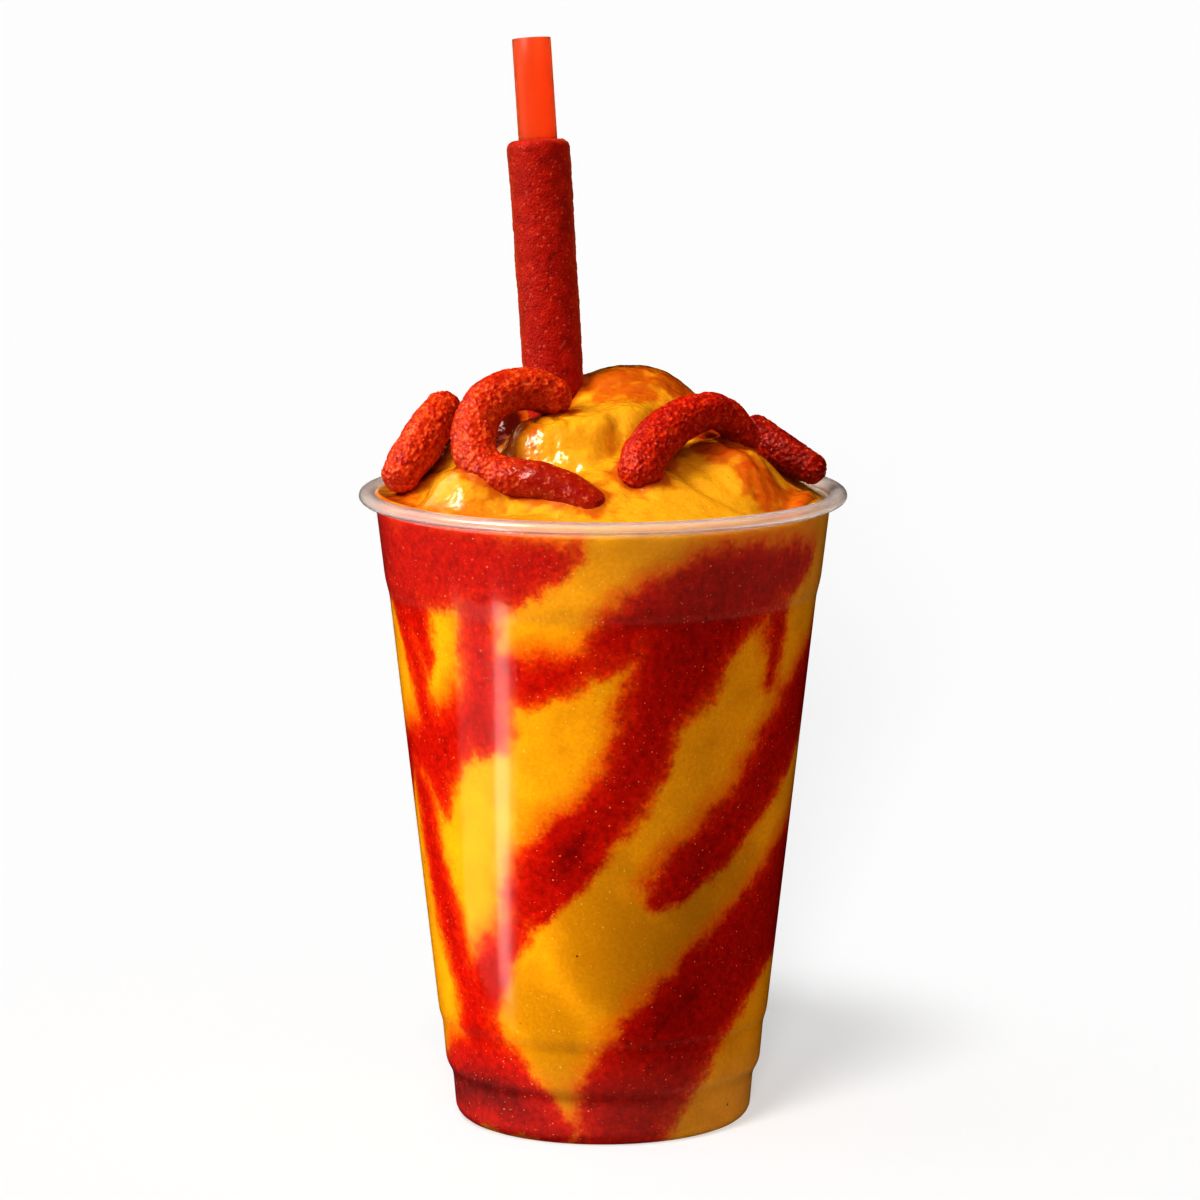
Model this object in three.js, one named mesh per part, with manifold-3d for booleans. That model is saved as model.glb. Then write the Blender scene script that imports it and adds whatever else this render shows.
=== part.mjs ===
// A clear plastic cup heaped with mango and chilli sauce smoothie, with a straw coated in
// tamarind candy and four curled candy worms on top. Millimetres, +Z up.
// The origin is the middle of the cup's foot, on the surface that it stands on.

import * as THREE from 'three';
import { mergeVertices } from 'three/addons/utils/BufferGeometryUtils.js';
import Module from 'manifold-3d';

const wasm = await Module();
wasm.setup();

// Driving dimensions of the cup
const RIM_RADIUS = 49; // outer edge of the rolled rim, for a 98 mm lid
const RIM_HEIGHT = 127.3; // middle of the rolled rim
const BEAD = { halfWidth: 1.75, halfHeight: 1.35 };
const WALL = 0.6;
const FOOT = { panelRadius: 22.5, panelLift: 0.9, ringRadius: 24.5, flatRadius: 27, corner: 3 };
const FOOT_WALL = { topRadius: 30.55, height: 9.2 };
const LOWER_SHOULDER = { radius: 31.9, height: 11.7 };
const LOWER_BAND = { topRadius: 32.6, height: 19.7 };
const UPPER_SHOULDER = { radius: 33.35, height: 22.1 };
const MAIN_WALL = { topRadius: 42.95, height: 107.2 };
const STACKING_STEP = { radius: 43.85, height: 110.8 };
const COLLAR = { topRadius: 45.5, height: 124.6 };
const ROUND_SEGMENTS = 60;

// Driving dimensions of the filling
const GAP = 0.3; // room between pieces that touch
const FILL_LEVEL = { rise: -0.5, fall: 1.6, towards: 35 }; // above the rim, and its slope to the back right
const BLEND = 2.4; // how softly one lump runs into the next
// Each lump: centre, rise above the rim, half length, half width, the turn of its length in degrees, how
// full its sides are, where 1 is a plain dome, and its tilt, the extra rise for each millimetre along it
const LUMPS = {
  skirt: { x: 0, y: 2, rise: 15.5, length: 43, width: 43, turn: 0, fullness: 1, tilt: 0 },
  crown: { x: 5, y: 7, rise: 25, length: 25, width: 23, turn: 0, fullness: 1.25, tilt: 0 },
  behindCurl: { x: -18, y: 6, rise: 19, length: 13, width: 12, turn: 0, fullness: 1.2, tilt: 0 },
  underArch: { x: 20, y: 6, rise: 17.5, length: 14, width: 13, turn: 0, fullness: 1.2, tilt: 0 },
  tongue: { x: -4, y: -8.5, rise: 18.6, length: 21.5, width: 13.5, turn: 20, fullness: 2.6, tilt: 0.14 },
  rightLump: { x: 24, y: -10.5, rise: 12.9, length: 20, width: 15, turn: -18, fullness: 1.1, tilt: 0 },
  leftLump: { x: -24, y: -22.5, rise: 9.2, length: 13, width: 11.5, turn: 15, fullness: 1.7, tilt: 0 },
  leftShoulder: { x: -25, y: 5, rise: 13.5, length: 15, width: 18, turn: 0, fullness: 1, tilt: 0 },
  backLump: { x: -14, y: 26, rise: 12.5, length: 19, width: 13, turn: 25, fullness: 1.3, tilt: 0 },
  backRightLump: { x: 20, y: 24, rise: 11, length: 16, width: 13, turn: -40, fullness: 1.3, tilt: 0 },
};

// Driving dimensions of the straw and its coating, with heights above the rim
const STRAW = { radius: 3.9, bore: 3.45, top: 90.4, bottom: -119.5 };
const STRAW_AT_SURFACE = new THREE.Vector3(-9.6, 3, 18);
const STRAW_LEAN = new THREE.Vector3(-0.066, 0.14, 1); // a little to the left and to the back
const COATING = { topRadius: 6.3, middleRadius: 6.1, lowRadius: 5.9, top: 70.2, bottom: 3, shoulder: 1.5 };

// Driving dimensions of the candy worms, with heights above the rim
const GRAIN = 0.32; // how far the sugar crust stands in and out
const WORM_STEP = 1.9; // length between two rings of a worm
// Each path runs between the middles of the worm's two round ends. The radii lie at equal distances along it.
const WORMS = {
  worm_curled: {
    colour: 0xb8280e,
    radii: [4.3, 4.7, 4.7, 4.1, 3.6],
    sides: 14,
    path: [
      [-10.3, -9.2, 21], [-14, -10.5, 22.5], [-18.8, -13, 22.4], [-23.3, -16, 20], [-25.4, -19.5, 15.6],
      [-25.2, -23, 11.2], [-22.4, -26, 8], [-17.8, -28.6, 7.3], [-12.3, -30.6, 6.9], [-7.2, -32.5, 5.4],
      [-2.8, -34.6, 2.9],
    ],
  },
  worm_left: {
    colour: 0xcc3c14,
    radii: [4.1, 4.6, 4.8, 4.6, 4.1],
    sides: 14,
    path: [
      [-40.2, -10.5, 5.6], [-38.8, -9, 7.9], [-36.9, -6.5, 10.2], [-34.8, -3.5, 13.2], [-33.4, -0.5, 15.2],
      [-32.2, 2.5, 16.6],
    ],
  },
  worm_arched: {
    colour: 0xb41a0a,
    radii: [4.8, 4.9, 4.4, 3.8, 3.6],
    sides: 14,
    path: [
      [7.4, -27.4, 8.9], [8.2, -24.8, 11.1], [11.2, -20.5, 14.3], [15.4, -16.3, 17.1], [21.2, -12, 18.4],
      [24.9, -8.8, 16.5], [28.1, -6, 12.3],
    ],
  },
  worm_right: {
    colour: 0xa02c0a,
    radii: [3.9, 4, 4, 3.8, 3.4],
    sides: 12,
    path: [[30.7, 7, 11.4], [33.6, 5, 9.6], [37, 2.6, 7.5], [39.6, 1, 6.3], [41.8, -0.5, 5.3]],
  },
};

// A closed mesh from a geometry, as a solid that can be joined and cut
function toSolid(geometry) {
  const plain = geometry.clone();
  plain.deleteAttribute('normal');
  plain.deleteAttribute('uv');
  const merged = mergeVertices(plain);
  const mesh = new wasm.Mesh({
    numProp: 3,
    vertProperties: new Float32Array(merged.attributes.position.array),
    triVerts: new Uint32Array(merged.index.array),
  });
  return new wasm.Manifold(mesh);
}

function toGeometry(solid) {
  const mesh = solid.getMesh();
  const geometry = new THREE.BufferGeometry();
  geometry.setAttribute('position', new THREE.BufferAttribute(mesh.vertProperties, 3));
  geometry.setIndex(new THREE.BufferAttribute(mesh.triVerts, 1));
  geometry.computeVertexNormals();
  return geometry;
}

// A profile of [radius, height] points turned round the vertical axis
function turned(profile, segments) {
  const points = profile.map(([radius, height]) => new THREE.Vector2(radius, height));
  return new THREE.LatheGeometry(points, segments).rotateX(Math.PI / 2);
}

// Numbers from 0 to 1 that are the same on each run
function randomNumbers(seed) {
  let state = seed;
  return () => {
    state = (state * 1664525 + 1013904223) % 4294967296;
    return state / 4294967296;
  };
}

// The cup's side from its foot up to the collar, moved in from the outer face by the inset
function cupSide(inset, floorHeight) {
  const side = [
    [FOOT.panelRadius, floorHeight + FOOT.panelLift],
    [FOOT.ringRadius, floorHeight],
  ];
  const cornerSteps = 3;
  const cornerRadius = FOOT.corner - inset;
  for (let step = 0; step <= cornerSteps; step += 1) {
    const angle = (step / cornerSteps) * (Math.PI / 2);
    side.push([
      FOOT.flatRadius + cornerRadius * Math.sin(angle),
      floorHeight + cornerRadius * (1 - Math.cos(angle)),
    ]);
  }
  side.push(
    [FOOT_WALL.topRadius - inset, FOOT_WALL.height],
    [LOWER_SHOULDER.radius - inset, LOWER_SHOULDER.height],
    [LOWER_BAND.topRadius - inset, LOWER_BAND.height],
    [UPPER_SHOULDER.radius - inset, UPPER_SHOULDER.height],
    [MAIN_WALL.topRadius - inset, MAIN_WALL.height],
    [STACKING_STEP.radius - inset, STACKING_STEP.height],
    [COLLAR.topRadius - inset, COLLAR.height],
  );
  return side;
}

function cup() {
  const outside = [[0, FOOT.panelLift], ...cupSide(0, 0)];
  const beadRadius = RIM_RADIUS - BEAD.halfWidth;
  const beadSteps = 7;
  const bead = [];
  // The rolled rim from its underside, round the outside and over the top to the inner edge
  for (let step = 0; step <= beadSteps; step += 1) {
    const angle = ((step - 3) / 4) * Math.PI;
    bead.push([
      beadRadius + BEAD.halfWidth * Math.cos(angle),
      RIM_HEIGHT + BEAD.halfHeight * Math.sin(angle),
    ]);
  }
  const inside = cupSide(WALL, WALL).reverse();
  const profile = [...outside, ...bead, ...inside, [0, WALL + FOOT.panelLift]];
  return turned(profile, ROUND_SEGMENTS);
}

// How high one lump stands above the rim at a place
function lumpHeight(lump, x, y) {
  const turn = THREE.MathUtils.degToRad(lump.turn);
  const alongOffset = (x - lump.x) * Math.cos(turn) + (y - lump.y) * Math.sin(turn);
  const acrossOffset = (y - lump.y) * Math.cos(turn) - (x - lump.x) * Math.sin(turn);
  const reach = (alongOffset / lump.length) ** 2 + (acrossOffset / lump.width) ** 2;
  return lump.rise * (1 - reach ** lump.fullness) + lump.tilt * alongOffset;
}

// The higher of two heights, rounded where they cross
function softMax(first, second) {
  const closeness = Math.max(BLEND - Math.abs(first - second), 0) / BLEND;
  return Math.max(first, second) + (closeness * closeness * BLEND) / 4;
}

// The height of the smoothie's surface above the foot
function surfaceHeight(x, y) {
  const towards = THREE.MathUtils.degToRad(FILL_LEVEL.towards);
  const across = (x * Math.cos(towards) + y * Math.sin(towards)) / RIM_RADIUS;
  let height = FILL_LEVEL.rise - FILL_LEVEL.fall * across;
  for (const lump of Object.values(LUMPS)) {
    height = softMax(height, lumpHeight(lump, x, y));
  }
  return RIM_HEIGHT + height;
}

function strawPoint(heightAboveRim) {
  const lift = heightAboveRim - STRAW_AT_SURFACE.z;
  return new THREE.Vector3(
    STRAW_AT_SURFACE.x + STRAW_LEAN.x * lift,
    STRAW_AT_SURFACE.y + STRAW_LEAN.y * lift,
    RIM_HEIGHT + heightAboveRim,
  );
}

// A round piece turned from a profile, then leaned onto the straw's line from a height above the rim
function onStraw(profile, segments, startHeight) {
  const lean = new THREE.Quaternion().setFromUnitVectors(
    new THREE.Vector3(0, 0, 1),
    STRAW_LEAN.clone().normalize(),
  );
  const start = strawPoint(startHeight);
  return turned(profile, segments).applyQuaternion(lean).translate(start.x, start.y, start.z);
}

function lengthOnStraw(lowHeight, highHeight) {
  return strawPoint(lowHeight).distanceTo(strawPoint(highHeight));
}

function straw() {
  const length = lengthOnStraw(STRAW.bottom, STRAW.top);
  const profile = [
    [STRAW.bore, 0],
    [STRAW.radius, 0],
    [STRAW.radius, length],
    [STRAW.bore, length],
    [STRAW.bore, 0],
  ];
  return onStraw(profile, 24, STRAW.bottom);
}

// The coating's outer outline from its lower end to its rounded top, made wider by the margin
function coatingOutline(margin) {
  const length = lengthOnStraw(COATING.bottom, COATING.top);
  const outline = [];
  const bands = 16;
  for (let band = 0; band <= bands; band += 1) {
    const share = band / bands;
    const low = THREE.MathUtils.lerp(COATING.lowRadius, COATING.middleRadius, Math.min(share * 2, 1));
    const radius = THREE.MathUtils.lerp(low, COATING.topRadius, Math.max(share * 2 - 1, 0));
    const ripple = 0.07 * Math.sin(band * 2.4);
    outline.push([radius + ripple + margin, share * (length - COATING.shoulder)]);
  }
  const shoulderSteps = 3;
  for (let step = 1; step <= shoulderSteps; step += 1) {
    const angle = (step / shoulderSteps) * (Math.PI / 2);
    outline.push([
      COATING.topRadius - COATING.shoulder * (1 - Math.cos(angle)) + margin,
      length - COATING.shoulder * (1 - Math.sin(angle)),
    ]);
  }
  return outline;
}

function strawCoating() {
  const outline = coatingOutline(0);
  const length = lengthOnStraw(COATING.bottom, COATING.top);
  const bore = STRAW.radius + GAP;
  return onStraw([[bore, 0], ...outline, [bore, length], [bore, 0]], 24, COATING.bottom);
}

// The space in the filling for the straw and the coating
function strawClearance() {
  const strawLength = lengthOnStraw(STRAW.bottom, STRAW.top) + GAP;
  const strawRadius = STRAW.radius + GAP;
  const strawSpace = onStraw(
    [[0, -GAP], [strawRadius, -GAP], [strawRadius, strawLength], [0, strawLength]],
    24,
    STRAW.bottom,
  );
  const coatingLength = lengthOnStraw(COATING.bottom, COATING.top);
  const coatingRadius = COATING.lowRadius + 2 * GAP;
  const coatingSpace = onStraw(
    [[0, -GAP], [coatingRadius, -GAP], [coatingRadius, coatingLength], [0, coatingLength]],
    24,
    COATING.bottom,
  );
  return toSolid(strawSpace).add(toSolid(coatingSpace));
}

function wormCurve(worm) {
  const points = worm.path.map(([x, y, height]) => new THREE.Vector3(x, y, RIM_HEIGHT + height));
  return new THREE.CatmullRomCurve3(points);
}

// The radius at a share of the worm's length
function wormRadius(worm, share) {
  const place = share * (worm.radii.length - 1);
  const before = Math.min(Math.floor(place), worm.radii.length - 2);
  return THREE.MathUtils.lerp(worm.radii[before], worm.radii[before + 1], place - before);
}

// A capsule bent along the worm's curve. The grain roughens its skin, and the margin makes it wider.
function wormBody(worm, grain, margin, seed) {
  const curve = wormCurve(worm);
  const length = curve.getLength();
  const radius = wormRadius(worm, 0.5);
  const rings = Math.round(length / WORM_STEP);
  const capsule = new THREE.CapsuleGeometry(radius, length, 3, worm.sides, rings);
  capsule.deleteAttribute('normal');
  capsule.deleteAttribute('uv');
  const body = mergeVertices(capsule);
  const frameCount = 240;
  const frames = curve.computeFrenetFrames(frameCount, false);
  const random = randomNumbers(seed);
  const place = body.attributes.position;
  for (let index = 0; index < place.count; index += 1) {
    const share = THREE.MathUtils.clamp(place.getY(index) / length + 0.5, 0, 1);
    const beyondEnd = place.getY(index) - (share - 0.5) * length;
    const frame = Math.round(share * frameCount);
    const widen = (wormRadius(worm, share) + margin + grain * (2 * random() - 1)) / radius;
    const point = curve.getPointAt(share)
      .addScaledVector(frames.normals[frame], place.getX(index) * widen)
      .addScaledVector(frames.binormals[frame], -place.getZ(index) * widen)
      .addScaledVector(frames.tangents[frame], beyondEnd * widen);
    place.setXYZ(index, point.x, point.y, point.z);
  }
  return body;
}

// The cup's inside up to the surface, cut round the straw and where the worms are sunk in
function smoothie() {
  const inset = WALL + GAP;
  const side = cupSide(inset, inset);
  const wallRadius = COLLAR.topRadius - inset;
  const surfaceRings = 20;
  const surface = [];
  for (let ring = 0; ring < surfaceRings; ring += 1) {
    surface.push([wallRadius * (1 - ring / surfaceRings), RIM_HEIGHT]);
  }
  const profile = [[0, inset + FOOT.panelLift], ...side, ...surface, [0, RIM_HEIGHT]];
  const body = turned(profile, ROUND_SEGMENTS);
  const place = body.attributes.position;
  for (let index = 0; index < place.count; index += 1) {
    if (place.getZ(index) > COLLAR.height + GAP) {
      place.setZ(index, surfaceHeight(place.getX(index), place.getY(index)));
    }
  }
  let filling = toSolid(body).subtract(strawClearance());
  for (const worm of Object.values(WORMS)) {
    filling = filling.subtract(toSolid(wormBody(worm, 0, GAP + GRAIN, 1)));
  }
  return toGeometry(filling);
}

function piece(name, geometry, colour, roughness) {
  const material = new THREE.MeshStandardMaterial({ color: colour, roughness, metalness: 0 });
  const mesh = new THREE.Mesh(geometry, material);
  mesh.name = name;
  return mesh;
}

const drink = new THREE.Group();
const clearPlastic = piece('cup', cup(), 0xf2f4f4, 0.08);
clearPlastic.material.transparent = true;
clearPlastic.material.opacity = 0.3;
drink.add(
  clearPlastic,
  piece('smoothie', smoothie(), 0xf2a516, 0.4),
  piece('straw', straw(), 0xff4a18, 0.25),
  piece('straw_coating', strawCoating(), 0xb0301a, 0.8),
);
Object.entries(WORMS).forEach(([name, worm], order) => {
  drink.add(piece(name, wormBody(worm, GRAIN, 0, 11 + order), worm.colour, 0.6));
});

export default drink;
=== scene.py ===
"""Looks of the cup of mango chamoy smoothie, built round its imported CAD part.

Sizes in the classes are millimetres above the table, with +Z up and the camera on the -Y side. They become
metres when a piece is finished.
"""

import logging
import math
from dataclasses import dataclass
from enum import Enum
from typing import Callable, Sequence

import bmesh
import bpy
import numpy as np
from mathutils import Euler, Matrix, Vector, noise


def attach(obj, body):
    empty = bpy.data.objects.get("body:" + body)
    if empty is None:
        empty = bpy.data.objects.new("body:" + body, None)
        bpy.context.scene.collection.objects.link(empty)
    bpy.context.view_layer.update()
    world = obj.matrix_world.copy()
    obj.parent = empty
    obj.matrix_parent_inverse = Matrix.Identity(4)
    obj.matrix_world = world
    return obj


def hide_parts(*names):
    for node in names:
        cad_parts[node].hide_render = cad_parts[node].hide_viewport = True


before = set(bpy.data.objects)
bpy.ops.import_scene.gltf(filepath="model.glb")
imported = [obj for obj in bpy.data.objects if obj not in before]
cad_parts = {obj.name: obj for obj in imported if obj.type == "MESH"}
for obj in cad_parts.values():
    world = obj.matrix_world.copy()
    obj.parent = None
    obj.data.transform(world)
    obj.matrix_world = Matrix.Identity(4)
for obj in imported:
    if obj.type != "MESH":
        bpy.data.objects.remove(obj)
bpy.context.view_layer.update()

log = logging.getLogger("smoothie")

MM = 0.001  # one millimetre in metres
WELD = 0.002  # points nearer than this are one, in millimetres
FULL_TURN = math.tau
RIM_HEIGHT = 127.3  # middle of the rolled rim, from which the filling and the candy are measured
COLLAR_HEIGHT = 124.6  # where the cup's wall turns into the rim

FEW = (0.93, 0.97)  # even random numbers past this soft edge pick about one in twenty
FRUIT_SCATTER = (1.0, 0.45, 0.12)  # how far red, green and blue light spread in the fruit, against each other

Outline = list[tuple[float, float]]
Span = tuple[float, float]
Triple = tuple[float, float, float]
Stops = Sequence[tuple[float, str]]
Inputs = dict[str | int, object]
Tree = bpy.types.NodeTree
Node = bpy.types.Node


class Slot(str, Enum):
    """The material slots."""

    CUP = "clear_plastic"
    SMOOTHIE = "smoothie"
    STRAW = "straw_plastic"
    COATING = "tamarind_candy"
    CANDY = "chilli_candy"


# Shapes


def rounded(corners: Outline, reach: float, steps: int = 4) -> Outline:
    """Round the corners of an open outline.

    Args:
        corners: Points of (radius, height).
        reach: How far from each corner its curve starts.
        steps: Pieces of each curve.

    Returns:
        The outline with a short curve at each inner corner.
    """
    longest = 0.45  # share of a straight side that one corner's curve may take
    points = [Vector(corner) for corner in corners]
    result = [corners[0]]
    for before, corner, after in zip(points, points[1:], points[2:]):
        arm_in = (before - corner).normalized() * min(reach, (before - corner).length * longest)
        arm_out = (after - corner).normalized() * min(reach, (after - corner).length * longest)
        for step in range(steps + 1):
            share = step / steps
            place = corner + arm_in * (1 - share) ** 2 + arm_out * share**2
            result.append((place.x, place.y))
    return result + [corners[-1]]


def beside(outline: Outline, distance: float) -> Outline:
    """Move an outline sideways, to its right as it runs.

    Args:
        outline: Points of (radius, height).
        distance: How far to move it, with less than zero for its left.

    Returns:
        The moved outline, with as many points.
    """
    points = np.array(outline)
    run = np.gradient(points, axis=0)
    run /= np.linalg.norm(run, axis=1)[:, None]
    moved = points + distance * np.column_stack([run[:, 1], -run[:, 0]])
    return [tuple(point) for point in moved]


def turned(outline: Outline, segments: int, closed: bool = False) -> bmesh.types.BMesh:
    """Turn an outline round the vertical axis.

    Args:
        outline: Points of (radius, height).
        segments: Steps of the full turn.
        closed: Whether the last point joins the first, as in a tube's wall.

    Returns:
        The closed shape, with its faces outwards.
    """
    shape = bmesh.new()
    corners = [shape.verts.new((radius, 0, height)) for radius, height in outline]
    followers = corners[1:] + corners[:1] if closed else corners[1:]
    for start, end in zip(corners, followers):
        shape.edges.new((start, end))
    bmesh.ops.spin(
        shape,
        geom=shape.verts[:] + shape.edges[:],
        cent=(0, 0, 0),
        axis=(0, 0, 1),
        angle=FULL_TURN,
        steps=segments,
        use_merge=True,
        use_duplicate=False,
    )
    bmesh.ops.remove_doubles(shape, verts=shape.verts, dist=WELD)
    bmesh.ops.recalc_face_normals(shape, faces=shape.faces)
    return shape


def spline(points: np.ndarray, steps: int) -> np.ndarray:
    """Run a smooth curve through rows of values.

    Args:
        points: One row for each point, with as many columns as wanted.
        steps: Rows of the curve between two points.

    Returns:
        The rows of the curve, ends included.
    """
    rows = np.vstack([2 * points[0] - points[1], points, 2 * points[-1] - points[-2]])
    share = np.linspace(0, 1, steps, endpoint=False)[:, None]
    spans = [
        0.5
        * (
            2 * b
            + (c - a) * share
            + (2 * a - 5 * b + 4 * c - d) * share**2
            + (3 * b - a - 3 * c + d) * share**3
        )
        for a, b, c, d in zip(rows, rows[1:], rows[2:], rows[3:])
    ]
    return np.vstack([*spans, points[-1]])


def tube_depth(points: np.ndarray, path: np.ndarray, radii: np.ndarray, reach: float = 8.0) -> np.ndarray:
    """Measure how deep points lie in a tube.

    Args:
        points: The points, one in each row.
        path: The tube's middle line, one point in each row.
        radii: The tube's radius at each point of the path.
        reach: How far outside the tube is still measured.

    Returns:
        The depth of each point under the tube's skin, less than zero outside, down to minus the reach.
    """
    depth = np.full(len(points), -reach)
    room = radii.max() + reach
    near = np.all((points > path.min(axis=0) - room) & (points < path.max(axis=0) + room), axis=1)
    close = points[near]
    for start, end, radius, next_radius in zip(path, path[1:], radii, radii[1:]):
        run = end - start
        share = np.clip((close - start) @ run / (run @ run), 0, 1)
        gap = np.linalg.norm(close - start - share[:, None] * run, axis=1)
        depth[near] = np.maximum(depth[near], radius + (next_radius - radius) * share - gap)
    return depth


def smooth_step(values: np.ndarray, low: float, high: float) -> np.ndarray:
    """Rise softly from 0 at the low value to 1 at the high one."""
    share = np.clip((values - low) / (high - low), 0, 1)
    return share * share * (3 - 2 * share)


@dataclass(frozen=True)
class Ripple:
    """Soft random relief: its height and width in millimetres, its number of layers and its own shift."""

    height: float
    width: float
    layers: int
    shift: float = 0.0

    def at(self, points: np.ndarray) -> np.ndarray:
        """How far it raises some places. Each finer layer is half as wide and half as high."""
        places = (points / self.width + self.shift).tolist()
        return self.height * np.array([noise.fractal(place, 1.0, 2.0, self.layers) for place in places])


def grains(points: np.ndarray, size: float) -> tuple[np.ndarray, np.ndarray]:
    """Sample a crust of packed round grains.

    Args:
        points: Places in millimetres, one in each row.
        size: Width of a grain.

    Returns:
        How near each place is to the middle of its grain, from 0 to 1, and the grain's own random number.
    """
    smallest, largest, mixing = 0.46, 0.7, 9.7
    nearness, tones = [], []
    for place in (points / size).tolist():
        distances, middles = noise.voronoi(place)
        tone = abs(noise.cell(middles[0] * mixing))
        radius = smallest + (largest - smallest) * tone
        nearness.append(math.sqrt(max(1 - (distances[0] / radius) ** 2, 0)) * radius / largest)
        tones.append(tone)
    return np.clip(nearness, 0, 1), np.array(tones)


class Piece:
    """A mesh in millimetres on its way to being a finished piece."""

    def __init__(self, name: str, shape: bmesh.types.BMesh) -> None:
        """Take the mesh from a shape, and free the shape."""
        self.name = name
        self.mesh = bpy.data.meshes.new(name)
        shape.to_mesh(self.mesh)
        shape.free()

    @property
    def points(self) -> np.ndarray:
        """The mesh's points, one in each row."""
        values = np.empty(len(self.mesh.vertices) * 3)
        self.mesh.vertices.foreach_get("co", values)
        return values.reshape(-1, 3)

    @points.setter
    def points(self, places: np.ndarray) -> None:
        """Move the mesh's points."""
        self.mesh.vertices.foreach_set("co", places.ravel())
        self.mesh.update()

    @property
    def normals(self) -> np.ndarray:
        """The way that the surface faces at each point."""
        values = np.empty(len(self.mesh.vertices) * 3)
        self.mesh.vertex_normals.foreach_get("vector", values)
        return values.reshape(-1, 3)

    def paint(self, name: str, values: np.ndarray) -> None:
        """Give each point a number that a material reads.

        Args:
            name: The attribute's name.
            values: One number for each point.
        """
        layer = self.mesh.attributes.new(name, "FLOAT", "POINT")
        layer.data.foreach_set("value", values.astype(np.float32))

    def take_second_finish(self, is_there: Callable[[np.ndarray], np.ndarray]) -> None:
        """Give some faces the second of the piece's two finishes.

        Args:
            is_there: Says which faces, from the middles of all of them.
        """
        middles = np.empty(len(self.mesh.polygons) * 3)
        self.mesh.polygons.foreach_get("center", middles)
        choice = is_there(middles.reshape(-1, 3)).astype(np.int32)
        self.mesh.polygons.foreach_set("material_index", choice)

    def finish(self, slot: Slot, stands_for: str, *materials: bpy.types.Material) -> bpy.types.Object:
        """Make the piece an object in metres that rides on the part.

        Args:
            slot: Not used.
            stands_for: The CAD node that it replaces.
            materials: Its one finish, or its two.

        Returns:
            The finished object, at the origin.
        """
        self.mesh.transform(Matrix.Scale(MM, 4))
        self.mesh.shade_smooth()
        for material in materials:
            self.mesh.materials.append(material)
        piece = bpy.data.objects.new(self.name, self.mesh)
        bpy.context.scene.collection.objects.link(piece)
        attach(piece, "root")
        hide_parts(stands_for)
        log.info("%s: %d faces", self.name, len(self.mesh.polygons))
        return piece


# Finishes


def linear(colour: str) -> tuple[float, float, float, float]:
    """Turn an sRGB hex colour into the linear colour that a shader takes."""
    parts = [int(colour[place : place + 2], 16) / 255 for place in (1, 3, 5)]
    red, green, blue = (
        part / 12.92 if part <= 0.04045 else ((part + 0.055) / 1.055) ** 2.4 for part in parts
    )
    return red, green, blue, 1.0


def set_inputs(tree: Tree, node: Node, inputs: Inputs) -> None:
    """Set or link a node's inputs.

    Args:
        tree: The tree that the node is in.
        node: The node.
        inputs: A value, a hex colour, a socket or a node for inputs by name or number. A node gives its first
            output that is in use.
    """
    for key, value in inputs.items():
        socket = node.inputs[key]
        if isinstance(value, Node):
            value = next(output for output in value.outputs if output.enabled)
        if isinstance(value, bpy.types.NodeSocket):
            tree.links.new(value, socket)
        else:
            socket.default_value = linear(value) if isinstance(value, str) else value


def add_node(
    tree: Tree, kind: str, inputs: Inputs | None = None, stops: Stops = (), **settings: object
) -> Node:
    """Add a node with its settings and links.

    Args:
        tree: The tree that takes it.
        kind: The node's type, without its "ShaderNode".
        inputs: What to set or link, as in set_inputs.
        stops: Places and hex colours of a colour ramp.
        settings: The node's own properties.

    Returns:
        The new node.
    """
    node = tree.nodes.new("ShaderNode" + kind)
    for name, value in settings.items():
        setattr(node, name, value)
    set_inputs(tree, node, inputs or {})
    if stops:
        ramp = node.color_ramp
        while len(ramp.elements) < len(stops):
            ramp.elements.new(0.5)
        for element, (place, colour) in zip(ramp.elements, stops):
            element.position = place
            element.color = linear(colour)
    return node


def new_material(name: str, **settings: object) -> tuple[bpy.types.Material, Tree, Node]:
    """Start a material.

    Args:
        name: The material's name.
        settings: Inputs of its Principled shader, by their names with spaces as underscores.

    Returns:
        The material, its node tree and its Principled shader.
    """
    material = bpy.data.materials.new(name)
    material.use_nodes = True
    tree = material.node_tree
    shader = tree.nodes["Principled BSDF"]
    set_inputs(tree, shader, {key.replace("_", " "): value for key, value in settings.items()})
    return material, tree, shader


def in_millimetres(tree: Tree) -> Node:
    """Add the object's own coordinates, in millimetres."""
    place = add_node(tree, "TexCoord")
    return add_node(tree, "Mapping", {"Vector": place.outputs["Object"], "Scale": (1 / MM,) * 3})


def lay_over(tree: Tree, under: object, over: object, value: object, edge: Span, most: float = 1.0) -> Node:
    """Lay one colour over another where a value is past a soft edge.

    Args:
        tree: The tree that takes the nodes.
        under: The lower colour.
        over: The upper colour.
        value: The node or socket with the value.
        edge: The values at which the edge starts and ends.
        most: The upper colour's share past the edge.

    Returns:
        The node that gives the mixed colour.
    """
    limits = {"Value": value, "From Min": edge[0], "From Max": edge[1], "To Max": most}
    share = add_node(tree, "MapRange", limits, interpolation_type="SMOOTHSTEP")
    return add_node(tree, "Mix", {0: share, 6: under, 7: over}, data_type="RGBA")


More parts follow.
